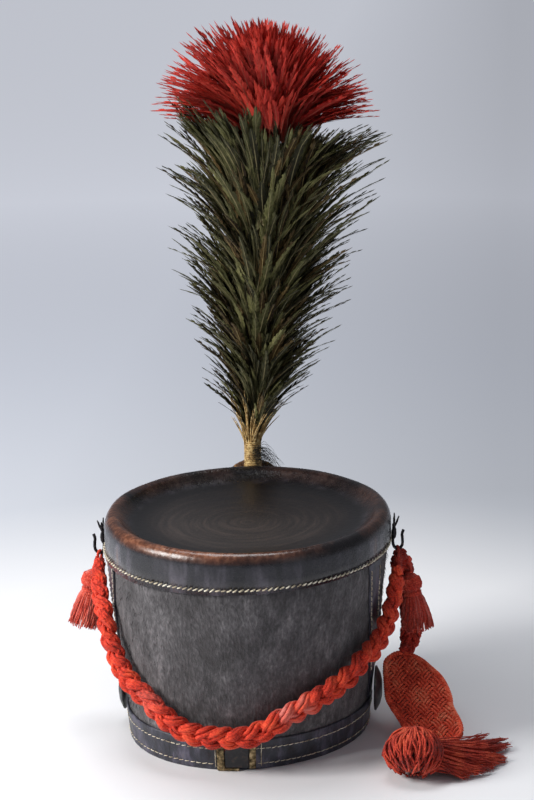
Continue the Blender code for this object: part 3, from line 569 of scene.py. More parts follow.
# Outline of a tassel: distance below its top, radius
TASSEL_OUTLINE = np.array([(0.0, 0.0010), (0.0010, 0.0030), (0.0040, 0.0066), (0.0100, 0.0080),
                           (0.0165, 0.0062), (0.0185, 0.0058), (0.0225, 0.0086), (0.0340, 0.0112),
                           (0.0440, 0.0126), (0.0540, 0.0136)])
TASSEL_THREADS = 230
small_wool = wool("tassel_thread", "84190f", "cf3f2b", "f08068", 25.0)
for name, top, foot, flat, tie in SMALL_TASSELS:
    top = np.array(top)
    axis = np.array(foot) - top
    axis = unit_long(axis)
    wide = unit_long(np.cross(axis, (0.0, 1.0, 0.0)))
    deep = np.cross(axis, wide)
    thread_lines = []
    for n in range(TASSEL_THREADS):
        reach = 0.55 + 0.45 * tassel_chance.random() ** 0.4
        below = np.linspace(0.0, 0.0450 + 0.0050 * tassel_chance.random(), 20)
        out = np.interp(below, TASSEL_OUTLINE[:, 0], TASSEL_OUTLINE[:, 1]) * reach
        turn = 2 * math.pi * n / TASSEL_THREADS * 11 + below * 9
        turn = turn + 0.10 * tassel_chance.normal() * below / 0.02
        wave = 0.0005 * np.sin(below * 420 + n) * np.clip((below - 0.020) / 0.02, 0, 1)
        thread_lines.append(top + axis * below[:, None] + wide * ((out + wave) * np.cos(turn))[:, None]
                            + deep * ((out + wave) * flat * np.sin(turn))[:, None])
    thread_tone = np.repeat(tassel_chance.random((TASSEL_THREADS, 1)) ** 3 * 0.7, 20, axis=1)
    thread_widths = np.concatenate([np.full(14, 0.00066), np.linspace(0.00064, 0.0004, 6)])
    threads = strands(name, thread_lines, thread_widths, small_wool, 4, thread_tone)
    seat(threads, "red_wool", name)
    wraps = []
    for start, end, loops, reach in ((0.0040, 0.0135, 7, 0.0082), (0.0165, 0.0192, 3, 0.0068)):
        s = np.linspace(0, 1, 40 * loops // 2)
        out = np.interp(start + (end - start) * s, TASSEL_OUTLINE[:, 0], TASSEL_OUTLINE[:, 1]) + 0.0007
        turn = 2 * math.pi * loops * s
        line = (top + axis * (start + (end - start) * s)[:, None] + wide * (out * np.cos(turn))[:, None]
                + deep * (out * flat * np.sin(turn))[:, None])
        wraps.append(strands(name + "_wrap", [line], 0.0009, small_wool, 6))
    tie_line = smooth_line([tuple(top + axis * 0.004)] + tie, 24)
    wraps.append(strands(name + "_tie", [tie_line], 0.0013, small_wool, 6))
    for wrap in wraps:
        seat(wrap, "red_wool")

# Side hooks: blackened iron wire bent to a J, with a swelling and a forked finial, lower on the left.
# The CAD solid is smoothed and given a hammered, rusted surface.
iron = mottled("blackened_iron", 420.0, 5.0, [(0.35, "141315"), (0.58, "262327"), (0.75, "4a3a30")],
               0.5, 0.0004, 0.46, 0.75)


def dressed(name, skin, smooth=True, bevel=0.0):
    """A CAD node kept as it is, with merged points, soft edges and its real surface."""
    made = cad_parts[name]
    made.data.materials.clear()
    made.data.materials.append(skin)
    for face in made.data.polygons:
        face.use_smooth = smooth
        face.material_index = 0
    weld = made.modifiers.new("weld", "WELD")
    weld.merge_threshold = 0.00002
    if bevel:
        edge = made.modifiers.new("edge", "BEVEL")
        edge.width = bevel
        edge.segments = 2
        edge.limit_method = "ANGLE"
        edge.angle_limit = math.radians(35)
    return made


for name in ("hook_left", "hook_right"):
    dressed(name, iron)

# Cord loops: a ring of cord through the hook and a neck that is wrapped round and round with wool.
# The right neck is longer, darker and ribbed.
LOOP_MIDDLES = [("cord_loop_right", 0.1206, 0.15083, 0.0085), ("cord_loop_left", -0.1206, 0.14215, 0.0030)]
RING_RADIUS = 0.0038
for name, x, z, neck_long in LOOP_MIDDLES:
    sign = 1.0 if x > 0 else -1.0
    turn = np.linspace(0, 2 * math.pi, 49)
    across = np.array((-math.sin(math.radians(15.0) * sign), math.cos(math.radians(15.0) * sign), 0.0))
    middle = np.array((x, 0.0, z))
    spins = turn * 9
    spread_out = across * (np.cos(turn) * RING_RADIUS)[:, None]
    ring = middle + spread_out + np.array((0, 0, 1.0)) * (np.sin(turn) * RING_RADIUS)[:, None]
    away = (ring - middle) / RING_RADIUS
    level = np.cross(across, (0, 0, 1.0))
    ring_cords = [ring + away * (0.0006 * np.cos(spins + s))[:, None] + level
                  * (0.0006 * np.sin(spins + s))[:, None] for s in (0.0, math.pi)]
    loop_wool = wool(name + "_wool", "5e120c", "a32a1b", "cf4a34", 40.0) if x > 0 else festoon_wool
    loop = strands(name, ring_cords, 0.00085, loop_wool, 6)
    seat(loop, "red_wool", name)
    neck_top = z - 0.0038 + 0.0008
    loops = max(3, int(neck_long / 0.0016)) + 1
    s = np.linspace(0, 1, loops * 16)
    out = 0.0027 + 0.0003 * np.sin(s * 40)
    coil = np.stack([x + out * np.cos(2 * math.pi * loops * s), out * np.sin(2 * math.pi * loops * s),
                     neck_top - 0.0006 - (neck_long - 0.0004) * s], 1)
    post = np.stack([np.full(6, x), np.zeros(6), np.linspace(neck_top, neck_top - neck_long, 6)], 1)
    seat(strands(name + "_coil", [coil], 0.00095, loop_wool, 6), "red_wool")
    seat(strands(name + "_post", [post], 0.0026, loop_wool, 10), "red_wool")

# Felt body: a thick wall of grey-black felt that has gone out of round, with soft dents and a ridge.
# The nap is worn to a vertical grain, with small tufts of hair standing off it.
FELT_ROWS = np.array([(0.0, 0.0934), (0.0255, 0.0965), (0.150, 0.1134), (0.170, 0.1136)])
FELT_THICK = 0.0022
# The band ends and the taper ends at these heights; the crown leans by these slopes along x and y.
BAND_TOP = 0.0255
TAPER_TOP = 0.150
LEAN_X = 0.01454
LEAN_Y = 0.00997
# How far the head opening and the crown are out of round, and where they are widest, in degrees
FOOT_OVAL = (0.056, 41.9)
CROWN_OVAL = (0.0123, -74.3)
SKIRT_SLOPE = 0.0276
# Soft dents: azimuth in degrees, height, half width in degrees, half height, depth
DENTS = [
    (-87.0, 0.112, 9.0, 0.050, -0.0012),
    (-72.0, 0.095, 12.0, 0.055, 0.0013),
    (-112.0, 0.100, 14.0, 0.045, 0.0012),
    (-40.0, 0.105, 12.0, 0.045, 0.0010),
    (-140.0, 0.080, 13.0, 0.050, -0.0009),
    (60.0, 0.090, 20.0, 0.050, 0.0014),
    (128.0, 0.105, 18.0, 0.045, 0.0012),
]


def felt_radius(z):
    """Outer radius of the round felt wall at a height."""
    return np.interp(z, FELT_ROWS[:, 0], FELT_ROWS[:, 1])


def soften(value):
    """A smooth step from 0 to 1."""
    value = np.clip(value, 0.0, 1.0)
    return value * value * (3.0 - 2.0 * value)


def settle(azimuth, z, radius):
    """Places on the leaning, uneven hat of azimuth, height and round radius arrays."""
    up = np.clip(z / TAPER_TOP, 0.0, 1.0)
    oval = (1.0 + (1.0 - up) * FOOT_OVAL[0] * np.cos(2.0 * (azimuth - math.radians(FOOT_OVAL[1])))
            + up * CROWN_OVAL[0] * np.cos(2.0 * (azimuth - math.radians(CROWN_OVAL[1]))))
    depth = 0.0
    for centre, height, half_width, half_height, deep in DENTS:
        turn = (np.degrees(azimuth) - centre + 180.0) % 360.0 - 180.0
        depth = depth + deep * soften(1.0 - (turn / half_width) ** 2 / 4.0
                                      - ((z - height) / half_height) ** 2)
    depth = depth * soften((z - BAND_TOP) / 0.020) * soften((0.1416 - z) / 0.020)
    real = radius * oval - depth
    x, y = real * np.cos(azimuth), real * np.sin(azimuth)
    return np.stack([x, y, z + up * (LEAN_X * x + LEAN_Y * y)], -1)


def shell(name, profile, around, skin, slot_name, nodes, edge_slope=0.0, ripple=None):
    """A closed ring shell: profile rows of (radius, z) go once round its section; poles at radius 0."""
    profile = np.array(profile, float)
    azimuth = np.linspace(-math.pi, math.pi, around, endpoint=False)
    grid_a, grid_r = np.meshgrid(azimuth, profile[:, 0])
    grid_z = np.meshgrid(azimuth, profile[:, 1])[1]
    lift = 0.0 if ripple is None else ripple(grid_a, grid_r, grid_z)
    verts = settle(grid_a, grid_z, grid_r + lift)
    if edge_slope:
        verts[..., 2] += edge_slope * verts[..., 0] * np.clip((0.1600 - grid_z) / 0.0040, 0.0, 1.0)
    rows = len(profile)
    closed = profile[0, 0] > 0.0
    verts = verts.reshape(-1, 3)
    faces = []
    for j in range(rows if closed else rows - 1):
        k = (j + 1) % rows
        for i in range(around):
            m = (i + 1) % around
            faces.append((j * around + i, k * around + i, k * around + m, j * around + m))
    made = piece(name, verts, faces, skin)
    shape = bmesh.new()
    shape.from_mesh(made.data)
    bmesh.ops.remove_doubles(shape, verts=shape.verts, dist=0.000005)
    bmesh.ops.recalc_face_normals(shape, faces=shape.faces)
    shape.to_mesh(made.data)
    shape.free()
    return seat(made, slot_name, *nodes)


def dense(profile, step):
    """The same section with points no further apart than step."""
    found = []
    for (r0, z0), (r1, z1) in zip(profile, profile[1:]):
        count = max(1, round(math.hypot(r1 - r0, z1 - z0) / step))
        found += [(r0 + (r1 - r0) * k / count, z0 + (z1 - z0) * k / count) for k in range(count)]
    return found + [profile[-1]]


felt, tree, shader = new_material("napped_grey_felt")
place = object_place(tree)
grain_space = node(tree, "ShaderNodeMapping", [("Vector", place), ("Scale", (1.0, 1.0, 0.42))])
grain = noise(tree, grain_space.outputs[0], 520.0, 5.0, 0.65)
clumps = noise(tree, grain_space.outputs[0], 130.0, 4.0)
broad = noise(tree, place, 22.0, 3.0)
felting = maths(tree, "ADD", grain, clumps)
all_of = maths(tree, "ADD", felting, broad)
third = maths(tree, "MULTIPLY", all_of, 0.3333)
tint(tree, shader, third, [(0.34, "2a2728"), (0.47, "3d3a3c"), (0.56, "555254"), (0.68, "7d787a")])
relief(tree, shader, felting, 0.9, 0.0011)
shader.inputs["Roughness"].default_value = 0.97
shader.inputs["Sheen Weight"].default_value = 0.12
shader.inputs["Sheen Roughness"].default_value = 0.6

felt_z = np.linspace(0.170, 0.0006, 96)
felt_section = [(float(felt_radius(z)), float(z)) for z in felt_z]
felt_section += [(float(felt_radius(z)) - FELT_THICK, float(z))
                 for z in felt_z[::-4]]


def felt_ripple(azimuth, radius, z):
    """Shallow pulls of the felt, strongest at mid height."""
    wave = 0.00030 * np.sin(azimuth * 9 + z * 55) + 0.00022 * np.sin(azimuth * 23 - z * 90 + 1.3)
    return wave * soften((z - 0.030) / 0.02) * soften((0.140 - z) / 0.02)


shell("felt_body", felt_section, 300, felt, "felt", ["felt_body"], ripple=felt_ripple)

# Crown leather: a dished top of thick blackened leather, rolled over at the rim and turned down in a skirt.
# It is rubbed brown along the crest, brushed in rings in the dish and smoky grey down the skirt.
crown_section = [
    (0.0000, 0.1728), (0.0450, 0.1731), (0.0700, 0.1737), (0.0850, 0.1750), (0.0945, 0.1772),
    (0.1005, 0.1805), (0.1045, 0.1837), (0.1085, 0.1850), (0.1118, 0.1841), (0.1143, 0.1815),
    (0.1157, 0.1775), (0.1161, 0.1730), (0.1161, 0.1650), (0.1157, 0.1536), (0.1139, 0.1536),
    (0.1141, 0.1730), (0.1130, 0.1795), (0.1085, 0.1830), (0.1040, 0.1808), (0.0955, 0.1752),
    (0.0700, 0.1717), (0.0000, 0.1708),
]
CROWN_OUTSIDE = 13
crown_round = smooth_line([(r, 0.0, z) for r, z in crown_section[:CROWN_OUTSIDE]], 120)
crown_round = [(float(max(p[0], 0.0)), float(p[2])) for p in crown_round]
crown_round[0] = crown_section[0]
crown_full = crown_round + dense(crown_section[CROWN_OUTSIDE:], 0.004)

crown, tree, shader = new_material("blackened_crown_leather")
place = object_place(tree)
split = node(tree, "ShaderNodeSeparateXYZ", [("Vector", place)])
level = node(tree, "ShaderNodeCombineXYZ", [("X", split.outputs["X"]), ("Y", split.outputs["Y"])])
reach = node(tree, "ShaderNodeVectorMath", [(0, level.outputs[0])], operation="LENGTH")
rise = node(tree, "ShaderNodeVectorMath", [(0, place), (1, (-LEAN_X, -LEAN_Y, 1.0))], operation="DOT_PRODUCT")
wear_noise = noise(tree, place, 42.0, 7.0, 0.62)
fine_noise = noise(tree, place, 260.0, 5.0)
streak_space = node(tree, "ShaderNodeMapping", [("Vector", place), ("Scale", (1.0, 1.0, 0.25))])
streaks = noise(tree, streak_space.outputs[0], 70.0, 5.0)
ring_space = node(tree, "ShaderNodeCombineXYZ", [("X", maths(tree, "MULTIPLY", reach.outputs["Value"], 14.0)),
                                                 ("Y", maths(tree, "MULTIPLY", split.outputs["X"], 1.2)),
                                                 ("Z", maths(tree, "MULTIPLY", split.outputs["Y"], 1.2))])
rings = noise(tree, ring_space.outputs[0], 22.0, 4.0)
base = ramp(tree, wear_noise, [(0.35, "131114"), (0.52, "1f1c1f"), (0.68, "352e2e")])
skirt_tone = ramp(tree, streaks, [(0.36, "121116"), (0.52, "26242a"), (0.64, "4c4850"), (0.76, "5e4a42")])
skirt_share = spread(tree, rise.outputs["Value"], 0.1795, 0.1740)
body_tone = blend(tree, skirt_share, base, skirt_tone)
dish_tone = ramp(tree, rings, [(0.30, "211c1c"), (0.50, "292322"), (0.70, "39302d")])
# Painted shade: the dish turns near black towards its walls and towards its far side.
wall_painted_shade = spread(tree, reach.outputs["Value"], 0.060, 0.086)
far_painted_shade = spread(tree, split.outputs["Y"], -0.005, 0.060, 0.0, 0.75)
painted_shade_share = maths(tree, "MAXIMUM", wall_painted_shade, far_painted_shade)
dish_painted_shade = blend(tree, painted_shade_share, dish_tone, srgb("100e10"))
dish_edge = spread(tree, reach.outputs["Value"], 0.0985, 0.0900)
dish_level = spread(tree, rise.outputs["Value"], 0.1720, 0.1727)
dish_share = maths(tree, "MULTIPLY", dish_edge, dish_level)
with_dish = blend(tree, dish_share, body_tone, dish_painted_shade)
crest_from = spread(tree, rise.outputs["Value"], 0.1772, 0.1832)
back_side = spread(tree, split.outputs["Y"], 0.06, -0.07)
rub_noise = noise(tree, place, 21.0, 3.0)
rub = spread(tree, rub_noise, 0.36, 0.66)
rub_here = maths(tree, "MULTIPLY", crest_from, rub)
side_share = maths(tree, "MULTIPLY_ADD", back_side, 0.75, 0.25)
left_share = spread(tree, split.outputs["X"], 0.09, -0.03, 0.45)
rub_side = maths(tree, "MULTIPLY", rub_here, left_share)
rub_all = maths(tree, "MULTIPLY", rub_side, side_share)
rubbed = ramp(tree, fine_noise, [(0.32, "54301f"), (0.55, "7a4a33"), (0.75, "a06e50")])
coloured = blend(tree, rub_all, with_dish, rubbed)
tree.links.new(coloured, shader.inputs["Base Color"])
shine = spread(tree, fine_noise, 0.3, 0.7, 0.20, 0.34)
floor_rough = spread(tree, painted_shade_share, 0.0, 1.0, 0.54, 0.30)
rough_mix = node(tree, "ShaderNodeMix", [("Factor", dish_share), ("A", shine), ("B", floor_rough)])
tree.links.new(rough_mix.outputs[0], shader.inputs["Roughness"])
heights = maths(tree, "ADD", wear_noise, fine_noise)
relief(tree, shader, heights, 0.35, 0.0008)
shader.inputs["Specular IOR Level"].default_value = 0.50


def crown_ripple(azimuth, radius, z):
    """Slow waves in the rolled rim."""
    rim = 0.00035 * np.sin(azimuth * 5 + 0.7) + 0.00025 * np.sin(azimuth * 11 + 2.0)
    return rim * soften((radius - 0.104) / 0.006)


shell("crown_leather", crown_full, 240, crown, "crown_leather", ["crown_leather"], SKIRT_SLOPE,
      ripple=crown_ripple)

# Headband: a strip of black leather round the lower edge, stitched in two rows and cracked by use.
band, tree, shader = new_material("black_band_leather")
place = object_place(tree)
cracks_space = node(tree, "ShaderNodeMapping", [("Vector", place), ("Scale", (1.0, 1.0, 0.35))])
cracks = noise(tree, cracks_space.outputs[0], 95.0, 6.0, 0.65)
pores = noise(tree, place, 700.0, 3.0)
tint(tree, shader, cracks, [(0.34, "17171e"), (0.50, "2f303b"), (0.62, "575463"), (0.74, "645e5c")])
shine = spread(tree, cracks, 0.35, 0.65, 0.34, 0.58)
tree.links.new(shine, shader.inputs["Roughness"])
heights = maths(tree, "ADD", cracks, pores)
relief(tree, shader, heights, 0.45, 0.0006)
BAND_IN = (0.0937, 0.0968)
BAND_OUT = (0.0955, 0.0986)
band_section = dense([
    (BAND_IN[1] + 0.0004, 0.0259), (BAND_OUT[1] - 0.0005, 0.0259), (BAND_OUT[1], 0.0251),
    (BAND_OUT[0], 0.0006), (BAND_OUT[0] - 0.0005, 0.0), (BAND_IN[0], 0.0), (BAND_IN[1], 0.0251),
], 0.0016)


def band_ripple(azimuth, radius, z):
    """Slight buckling of the strip; its inner face stays on the felt."""
    outside = soften((radius - np.interp(z, (0.0, BAND_TOP), BAND_IN) - 0.0009) / 0.0008)
    return outside * (0.00018 * np.sin(azimuth * 31 + z * 160) + 0.00012 * np.sin(azimuth * 57 + 1.0))


shell("headband", band_section, 260, band, "band_leather", ["headband"], ripple=band_ripple)


def repeat(name, unit, places, ahead, up, sizes, skin, shades):
    """One mesh of a unit repeated by Geometry Nodes: +Y turned to ahead, +Z to up, scaled by sizes."""
    points = bpy.data.meshes.new(name)
    points.from_pydata([tuple(p) for p in places], [], [])
    for key, kind, values in (("ahead", "FLOAT_VECTOR", ahead), ("up", "FLOAT_VECTOR", up),
                              ("size", "FLOAT_VECTOR", sizes), ("shade", "FLOAT", shades)):
        field = "vector" if kind == "FLOAT_VECTOR" else "value"
        points.attributes.new(key, kind, "POINT").data.foreach_set(field, np.asarray(values, "f").ravel())
    draft = bpy.data.objects.new(name, points)
    bpy.context.scene.collection.objects.link(draft)
    tree = bpy.data.node_groups.new(name + "_repeat", "GeometryNodeTree")
    sockets = {}
    for label, kind in (("Places", "NodeSocketGeometry"), ("Unit", "NodeSocketObject"),
                        ("Skin", "NodeSocketMaterial"), ("Grow", "NodeSocketFloat")):
        sockets[label] = tree.interface.new_socket(label, in_out="INPUT", socket_type=kind).identifier
    tree.interface.new_socket("Repeated", in_out="OUTPUT", socket_type="NodeSocketGeometry")
    entry = node(tree, "NodeGroupInput")
    way = node(tree, "GeometryNodeInputNamedAttribute", [("Name", "ahead")], data_type="FLOAT_VECTOR")
    top = node(tree, "GeometryNodeInputNamedAttribute", [("Name", "up")], data_type="FLOAT_VECTOR")
    size = node(tree, "GeometryNodeInputNamedAttribute", [("Name", "size")], data_type="FLOAT_VECTOR")
    first = node(tree, "FunctionNodeAlignRotationToVector", [("Vector", way.outputs[0])], axis="Y")
    second = node(tree, "FunctionNodeAlignRotationToVector",
                  [("Rotation", first.outputs[0]), ("Vector", top.outputs[0])], axis="Z", pivot_axis="Y")
    grown = node(tree, "ShaderNodeVectorMath", [(0, size.outputs[0])], operation="SCALE")
    tree.links.new(entry.outputs["Grow"], grown.inputs["Scale"])
    source = node(tree, "GeometryNodeObjectInfo", [("Object", entry.outputs["Unit"])])
    placed = node(tree, "GeometryNodeInstanceOnPoints", [
        ("Points", entry.outputs["Places"]), ("Instance", source.outputs["Geometry"]),
        ("Rotation", second.outputs[0]), ("Scale", grown.outputs[0])])
    real = node(tree, "GeometryNodeRealizeInstances", [("Geometry", placed.outputs[0])])
    dress = node(tree, "GeometryNodeSetMaterial", [("Geometry", real.outputs[0]),
                                                   ("Material", entry.outputs["Skin"])])
    leave = node(tree, "NodeGroupOutput")
    tree.links.new(dress.outputs[0], leave.inputs[0])
    modifier = draft.modifiers.new("repeat", "NODES")
    modifier.node_group = tree
    modifier[sockets["Unit"]] = unit
    modifier[sockets["Skin"]] = skin
    modifier[sockets["Grow"]] = 1.0
    bpy.context.view_layer.update()
    graph = bpy.context.evaluated_depsgraph_get()
    baked = bpy.data.meshes.new_from_object(draft.evaluated_get(graph), depsgraph=graph)
    draft.modifiers.clear()
    draft.data = baked
    baked.name = name
    bpy.data.meshes.remove(points)
    return draft


# Stitches: waxed linen saddle stitches, cream, on the skirt, the side strips and the headband.
linen, tree, shader = new_material("waxed_linen_thread")
place = object_place(tree)
fade = noise(tree, place, 150.0, 3.0)
tint(tree, shader, fade, [(0.34, "8a7d6a"), (0.50, "cabfa6"), (0.68, "ebe5d4")])
twine = noise(tree, place, 2600.0, 2.0)
relief(tree, shader, twine, 0.5, 0.0003)
shader.inputs["Roughness"].default_value = 0.8
stitch_line = [(0, -0.5, -0.35), (0, -0.38, 0.15), (0, 0, 0.36), (0, 0.38, 0.15), (0, 0.5, -0.35)]
stitch = strands("stitch_unit", [stitch_line], [[0.22, 0.30, 0.32, 0.30, 0.22]], linen, 8)
stitch_chance = np.random.default_rng(31)


def stitched(name, places, ahead, up, long, thick, slot_name, tilt=0.0):
    """A row of stitches along places, each tilted a little in the surface."""
    across = np.cross(up, ahead)
    lean = tilt + 0.10 * stitch_chance.normal(size=(len(places), 1))
    turned = ahead * np.cos(lean) + across * np.sin(lean)
    sizes = np.stack([np.full(len(places), thick), long * (0.92 + 0.16 * stitch_chance.random(len(places))),
                      np.full(len(places), thick)], 1)
    made = repeat(name, stitch, places, turned, up, sizes, linen, stitch_chance.random(len(places)))
    return seat(made, slot_name)


def ring_row(radius, z, pitch, edge_slope=0.0, span=(-math.pi, math.pi)):
    """Places, ahead and outward vectors of a row that runs round the hat."""
    count = int(radius * (span[1] - span[0]) / pitch)
    azimuth = np.linspace(span[0], span[1], count, endpoint=False)
    spots = settle(azimuth, np.full(count, z), np.full(count, radius))
    spots[:, 2] += edge_slope * spots[:, 0]
    ahead = np.gradient(spots, axis=0)
    ahead = unit_long(ahead)
    out = outward(azimuth)
    return spots, ahead, out


spots, ahead, out = ring_row(0.1160, 0.1577, 0.0044, SKIRT_SLOPE * 0.55)
stitched("skirt_stitches", spots + out * 0.0001, ahead, out, 0.0033, 0.0019, "crown_leather", 0.45)
for name, z in (("band_stitches_low", 0.0052), ("band_stitches_top", 0.0186)):
    radius = BAND_OUT[0] + (BAND_OUT[1] - BAND_OUT[0]) * z / BAND_TOP
    spots, ahead, out = ring_row(radius, z, 0.0048)
    free = np.abs(np.degrees(np.arctan2(spots[:, 1], spots[:, 0])) + 90.5) > 9.5
    stitched(name, (spots + out * 0.0001)[free], ahead[free], out[free], 0.0031, 0.0011, "band_leather", 0.10)
for name, azimuth in (("band_seam_left", -99.9), ("band_seam_right", -78.6)):
    rise = np.linspace(0.004, 0.0225, 7)
    turn = np.full(7, math.radians(azimuth))
    spots = settle(turn, rise, BAND_OUT[0] + (BAND_OUT[1] - BAND_OUT[0]) * rise / BAND_TOP)
    out = outward(turn)
    stitched(name, spots + out * 0.0001, np.tile([0.0, 0.0, 1.0], (7, 1)), out, 0.0024, 0.0011,
             "band_leather")

# Side strips: two leather strips on each side, sewn to the felt, that run down to one foot.
# Their stitches follow the inner and outer edges.
CHEVRON_ROWS = np.array([(0.1500, 22.6), (0.1330, 20.2), (0.1140, 17.0), (0.0940, 13.4), (0.0740, 9.6),
                         (0.0540, 5.0)])
for name, side_az in (("side_chevron_right", 0.0), ("side_chevron_left", math.pi)):
    dressed(name, band, False, 0.0003)
    for arm in (-1.0, 1.0):
        for edge in (-3.9, 3.9):
            rise = np.linspace(0.149, 0.056, 20)
            offset = arm * np.interp(rise, CHEVRON_ROWS[::-1, 0], CHEVRON_ROWS[::-1, 1]) + edge
            turn = side_az + np.radians(offset)
            spots = settle(turn, rise, felt_radius(rise))
            out = outward(turn)
            way = unit_long(np.gradient(spots, axis=0))
            keep = np.abs(offset) > 0.5
            label = "%s_stitches_%d_%d" % (name, arm, edge)
            places = spots + out * 0.0018
            stitched(label, places[keep], way[keep], out[keep], 0.0030, 0.0011, "crown_leather")

# Side bosses: domed leather covered discs, dark and mottled with greenish grey.
boss = mottled("dark_boss_leather", 160.0, 5.0, [(0.36, "16161a"), (0.55, "2d2e30"), (0.72, "5d625a")],
               0.4, 0.0006, 0.5)
for name in ("side_boss_left", "side_boss_right"):
    dressed(name, boss, True, 0.0003)

# Back strap with its brass: a short black strap with a T buckle at its left and a keeper bar at its right.
strap = mottled("black_strap_leather", 210.0, 6.0, [(0.36, "0d0d10"), (0.56, "1d1c20"), (0.75, "4d3a2c")],
                0.5, 0.0006, 0.42)
brass, tree, shader = new_material("tarnished_brass")
place = object_place(tree)
tarnish = noise(tree, place, 330.0, 5.0)
tint(tree, shader, tarnish, [(0.36, "3a3224"), (0.52, "7d6c4e"), (0.68, "b7a47e")])
shine = spread(tree, tarnish, 0.35, 0.65, 0.55, 0.28)
tree.links.new(shine, shader.inputs["Roughness"])
shader.inputs["Metallic"].default_value = 0.9
dressed("back_strap", strap, False, 0.0005)
dressed("back_buckle", brass, False, 0.0005)
dressed("keeper_bar", brass, False, 0.0005)

# Peak: a crescent of the same black leather at the front, low on the far side.
dressed("peak", crown, False, 0.0005)

# Cockade: a flat rosette of pleated dark cloth that stands behind the rim, round the foot of the plume.
cloth = mottled("pleated_brown_cloth", 500.0, 4.0, [(0.35, "2a1a12"), (0.55, "5f4028"), (0.72, "94703f")],
                0.5, 0.0004, 0.88)
front = np.array((math.cos(math.radians(94.0)), math.sin(math.radians(94.0)), 0.0))
beside = np.array((-front[1], front[0], 0.0))
box_low, box_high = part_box("cockade")
disc_middle = (np.array(box_low) + np.array(box_high)) / 2
PLEATS = 40
DISC_RADII = (0.0005, 0.006, 0.010, 0.012, 0.018, 0.023, 0.0262, 0.0268)
around = PLEATS * 4
layer_size = len(DISC_RADII) * around
verts = []
for face_side in (1.0, -1.0):
    for radius in DISC_RADII:
        for k in range(around):
            turn = 2 * math.pi * k / around
            wave = math.cos(turn * PLEATS) * 0.0005 * min(1.0, radius / 0.012) + 0.0006 * (radius < 0.011)
            edge = 0.0006 if radius > 0.0265 else 0.0013
            middle = disc_middle + front * (face_side * edge + wave * face_side)
            verts.append(middle + beside * radius * math.cos(turn)
                         + np.array((0, 0, 1.0)) * radius * math.sin(turn))
faces = []
for layer in range(2):
    start = layer * layer_size
    for ring_start in range(start, start + layer_size - around, around):
        for k in range(around):
            a, b = ring_start + k, ring_start + (k + 1) % around
            faces.append((a, b, b + around, a + around) if layer else (a, a + around, b + around, b))
    faces.append([start + k for k in range(around)][::-1 if layer else 1])
for k in range(around):
    a, b = layer_size - around + k, layer_size - around + (k + 1) % around
    faces.append((a, a + layer_size, b + layer_size, b))
seat(piece("cockade", verts, faces, cloth), "cockade_cloth", "cockade")

# Plume holder and stem: a leather socket on the front of the hat, and the quill bound with straw.
dressed("plume_socket", strap, True, 0.0003)
straw, tree, shader = new_material("straw_binding")
place = object_place(tree)
stalks = noise(tree, place, 380.0, 4.0)
tint(tree, shader, stalks, [(0.33, "6b4f26"), (0.50, "b4935a"), (0.68, "dcc48e")])
relief(tree, shader, stalks, 0.5, 0.0005)
shader.inputs["Roughness"].default_value = 0.7
box_low, box_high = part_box("plume_stem")
stem_x, stem_y = [(box_low[k] + box_high[k]) / 2 for k in (0, 1)]
s = np.linspace(0, 1, 46 * 16)
stem_z = 0.1235 + 0.0800 * s
stem_r = np.interp(stem_z, (0.122, 0.170, 0.199, 0.205), (0.0060, 0.0066, 0.0064, 0.0052))
coil = np.stack([stem_x + stem_r * np.cos(2 * math.pi * 46 * s),
                 stem_y + stem_r * np.sin(2 * math.pi * 46 * s),
                 stem_z + 0.0002 * np.sin(s * 300)], 1)
seat(strands("plume_stem", [coil], 0.00105, straw, 6), "quill", "plume_stem")
core = np.stack([np.full(8, stem_x), np.full(8, stem_y), np.linspace(0.1225, 0.2048, 8)], 1)
core_widths = [[0.0055, 0.0060, 0.0064, 0.0066, 0.0066, 0.0064, 0.0056, 0.0045]]
seat(strands("plume_stem_core", [core], core_widths, straw, 14), "quill")


def feather_skin(name, stops, shaft, tip):
    """Feather: barbs streaked along their length, a pale shaft and a tip colour towards the end."""
    made, tree, shader = new_material(name)
    vane = node(tree, "ShaderNodeAttribute", attribute_name="vane")
    tone = node(tree, "ShaderNodeAttribute", attribute_name="shade")
    split = node(tree, "ShaderNodeSeparateXYZ", [("Vector", vane.outputs["Vector"])])
    place = object_place(tree)
    streak = noise(tree, place, 240.0, 4.0)
    vary = maths(tree, "MULTIPLY_ADD", streak, 0.45, tone.outputs["Fac"])
    lean_by = maths(tree, "MULTIPLY", split.outputs["Y"], 46.0)
    barb = maths(tree, "MULTIPLY_ADD", split.outputs["X"], -5.0, lean_by)
    barb_wave = maths(tree, "SINE", maths(tree, "MULTIPLY", barb, 6.283))
    lined = maths(tree, "MULTIPLY_ADD", barb_wave, 0.11, vary)
    part = maths(tree, "MULTIPLY", lined, 0.69)
    base = ramp(tree, part, stops)
    near = spread(tree, split.outputs["X"], 0.16, 0.04)
    with_shaft = blend(tree, near, base, srgb(shaft))
    late = spread(tree, split.outputs["Y"], 0.62, 1.0, 0.0, 0.55)
    with_tip = blend(tree, late, with_shaft, srgb(tip))
    tree.links.new(with_tip, shader.inputs["Base Color"])
    shader.inputs["Roughness"].default_value = 0.68
    shader.inputs["Specular IOR Level"].default_value = 0.35
    return made


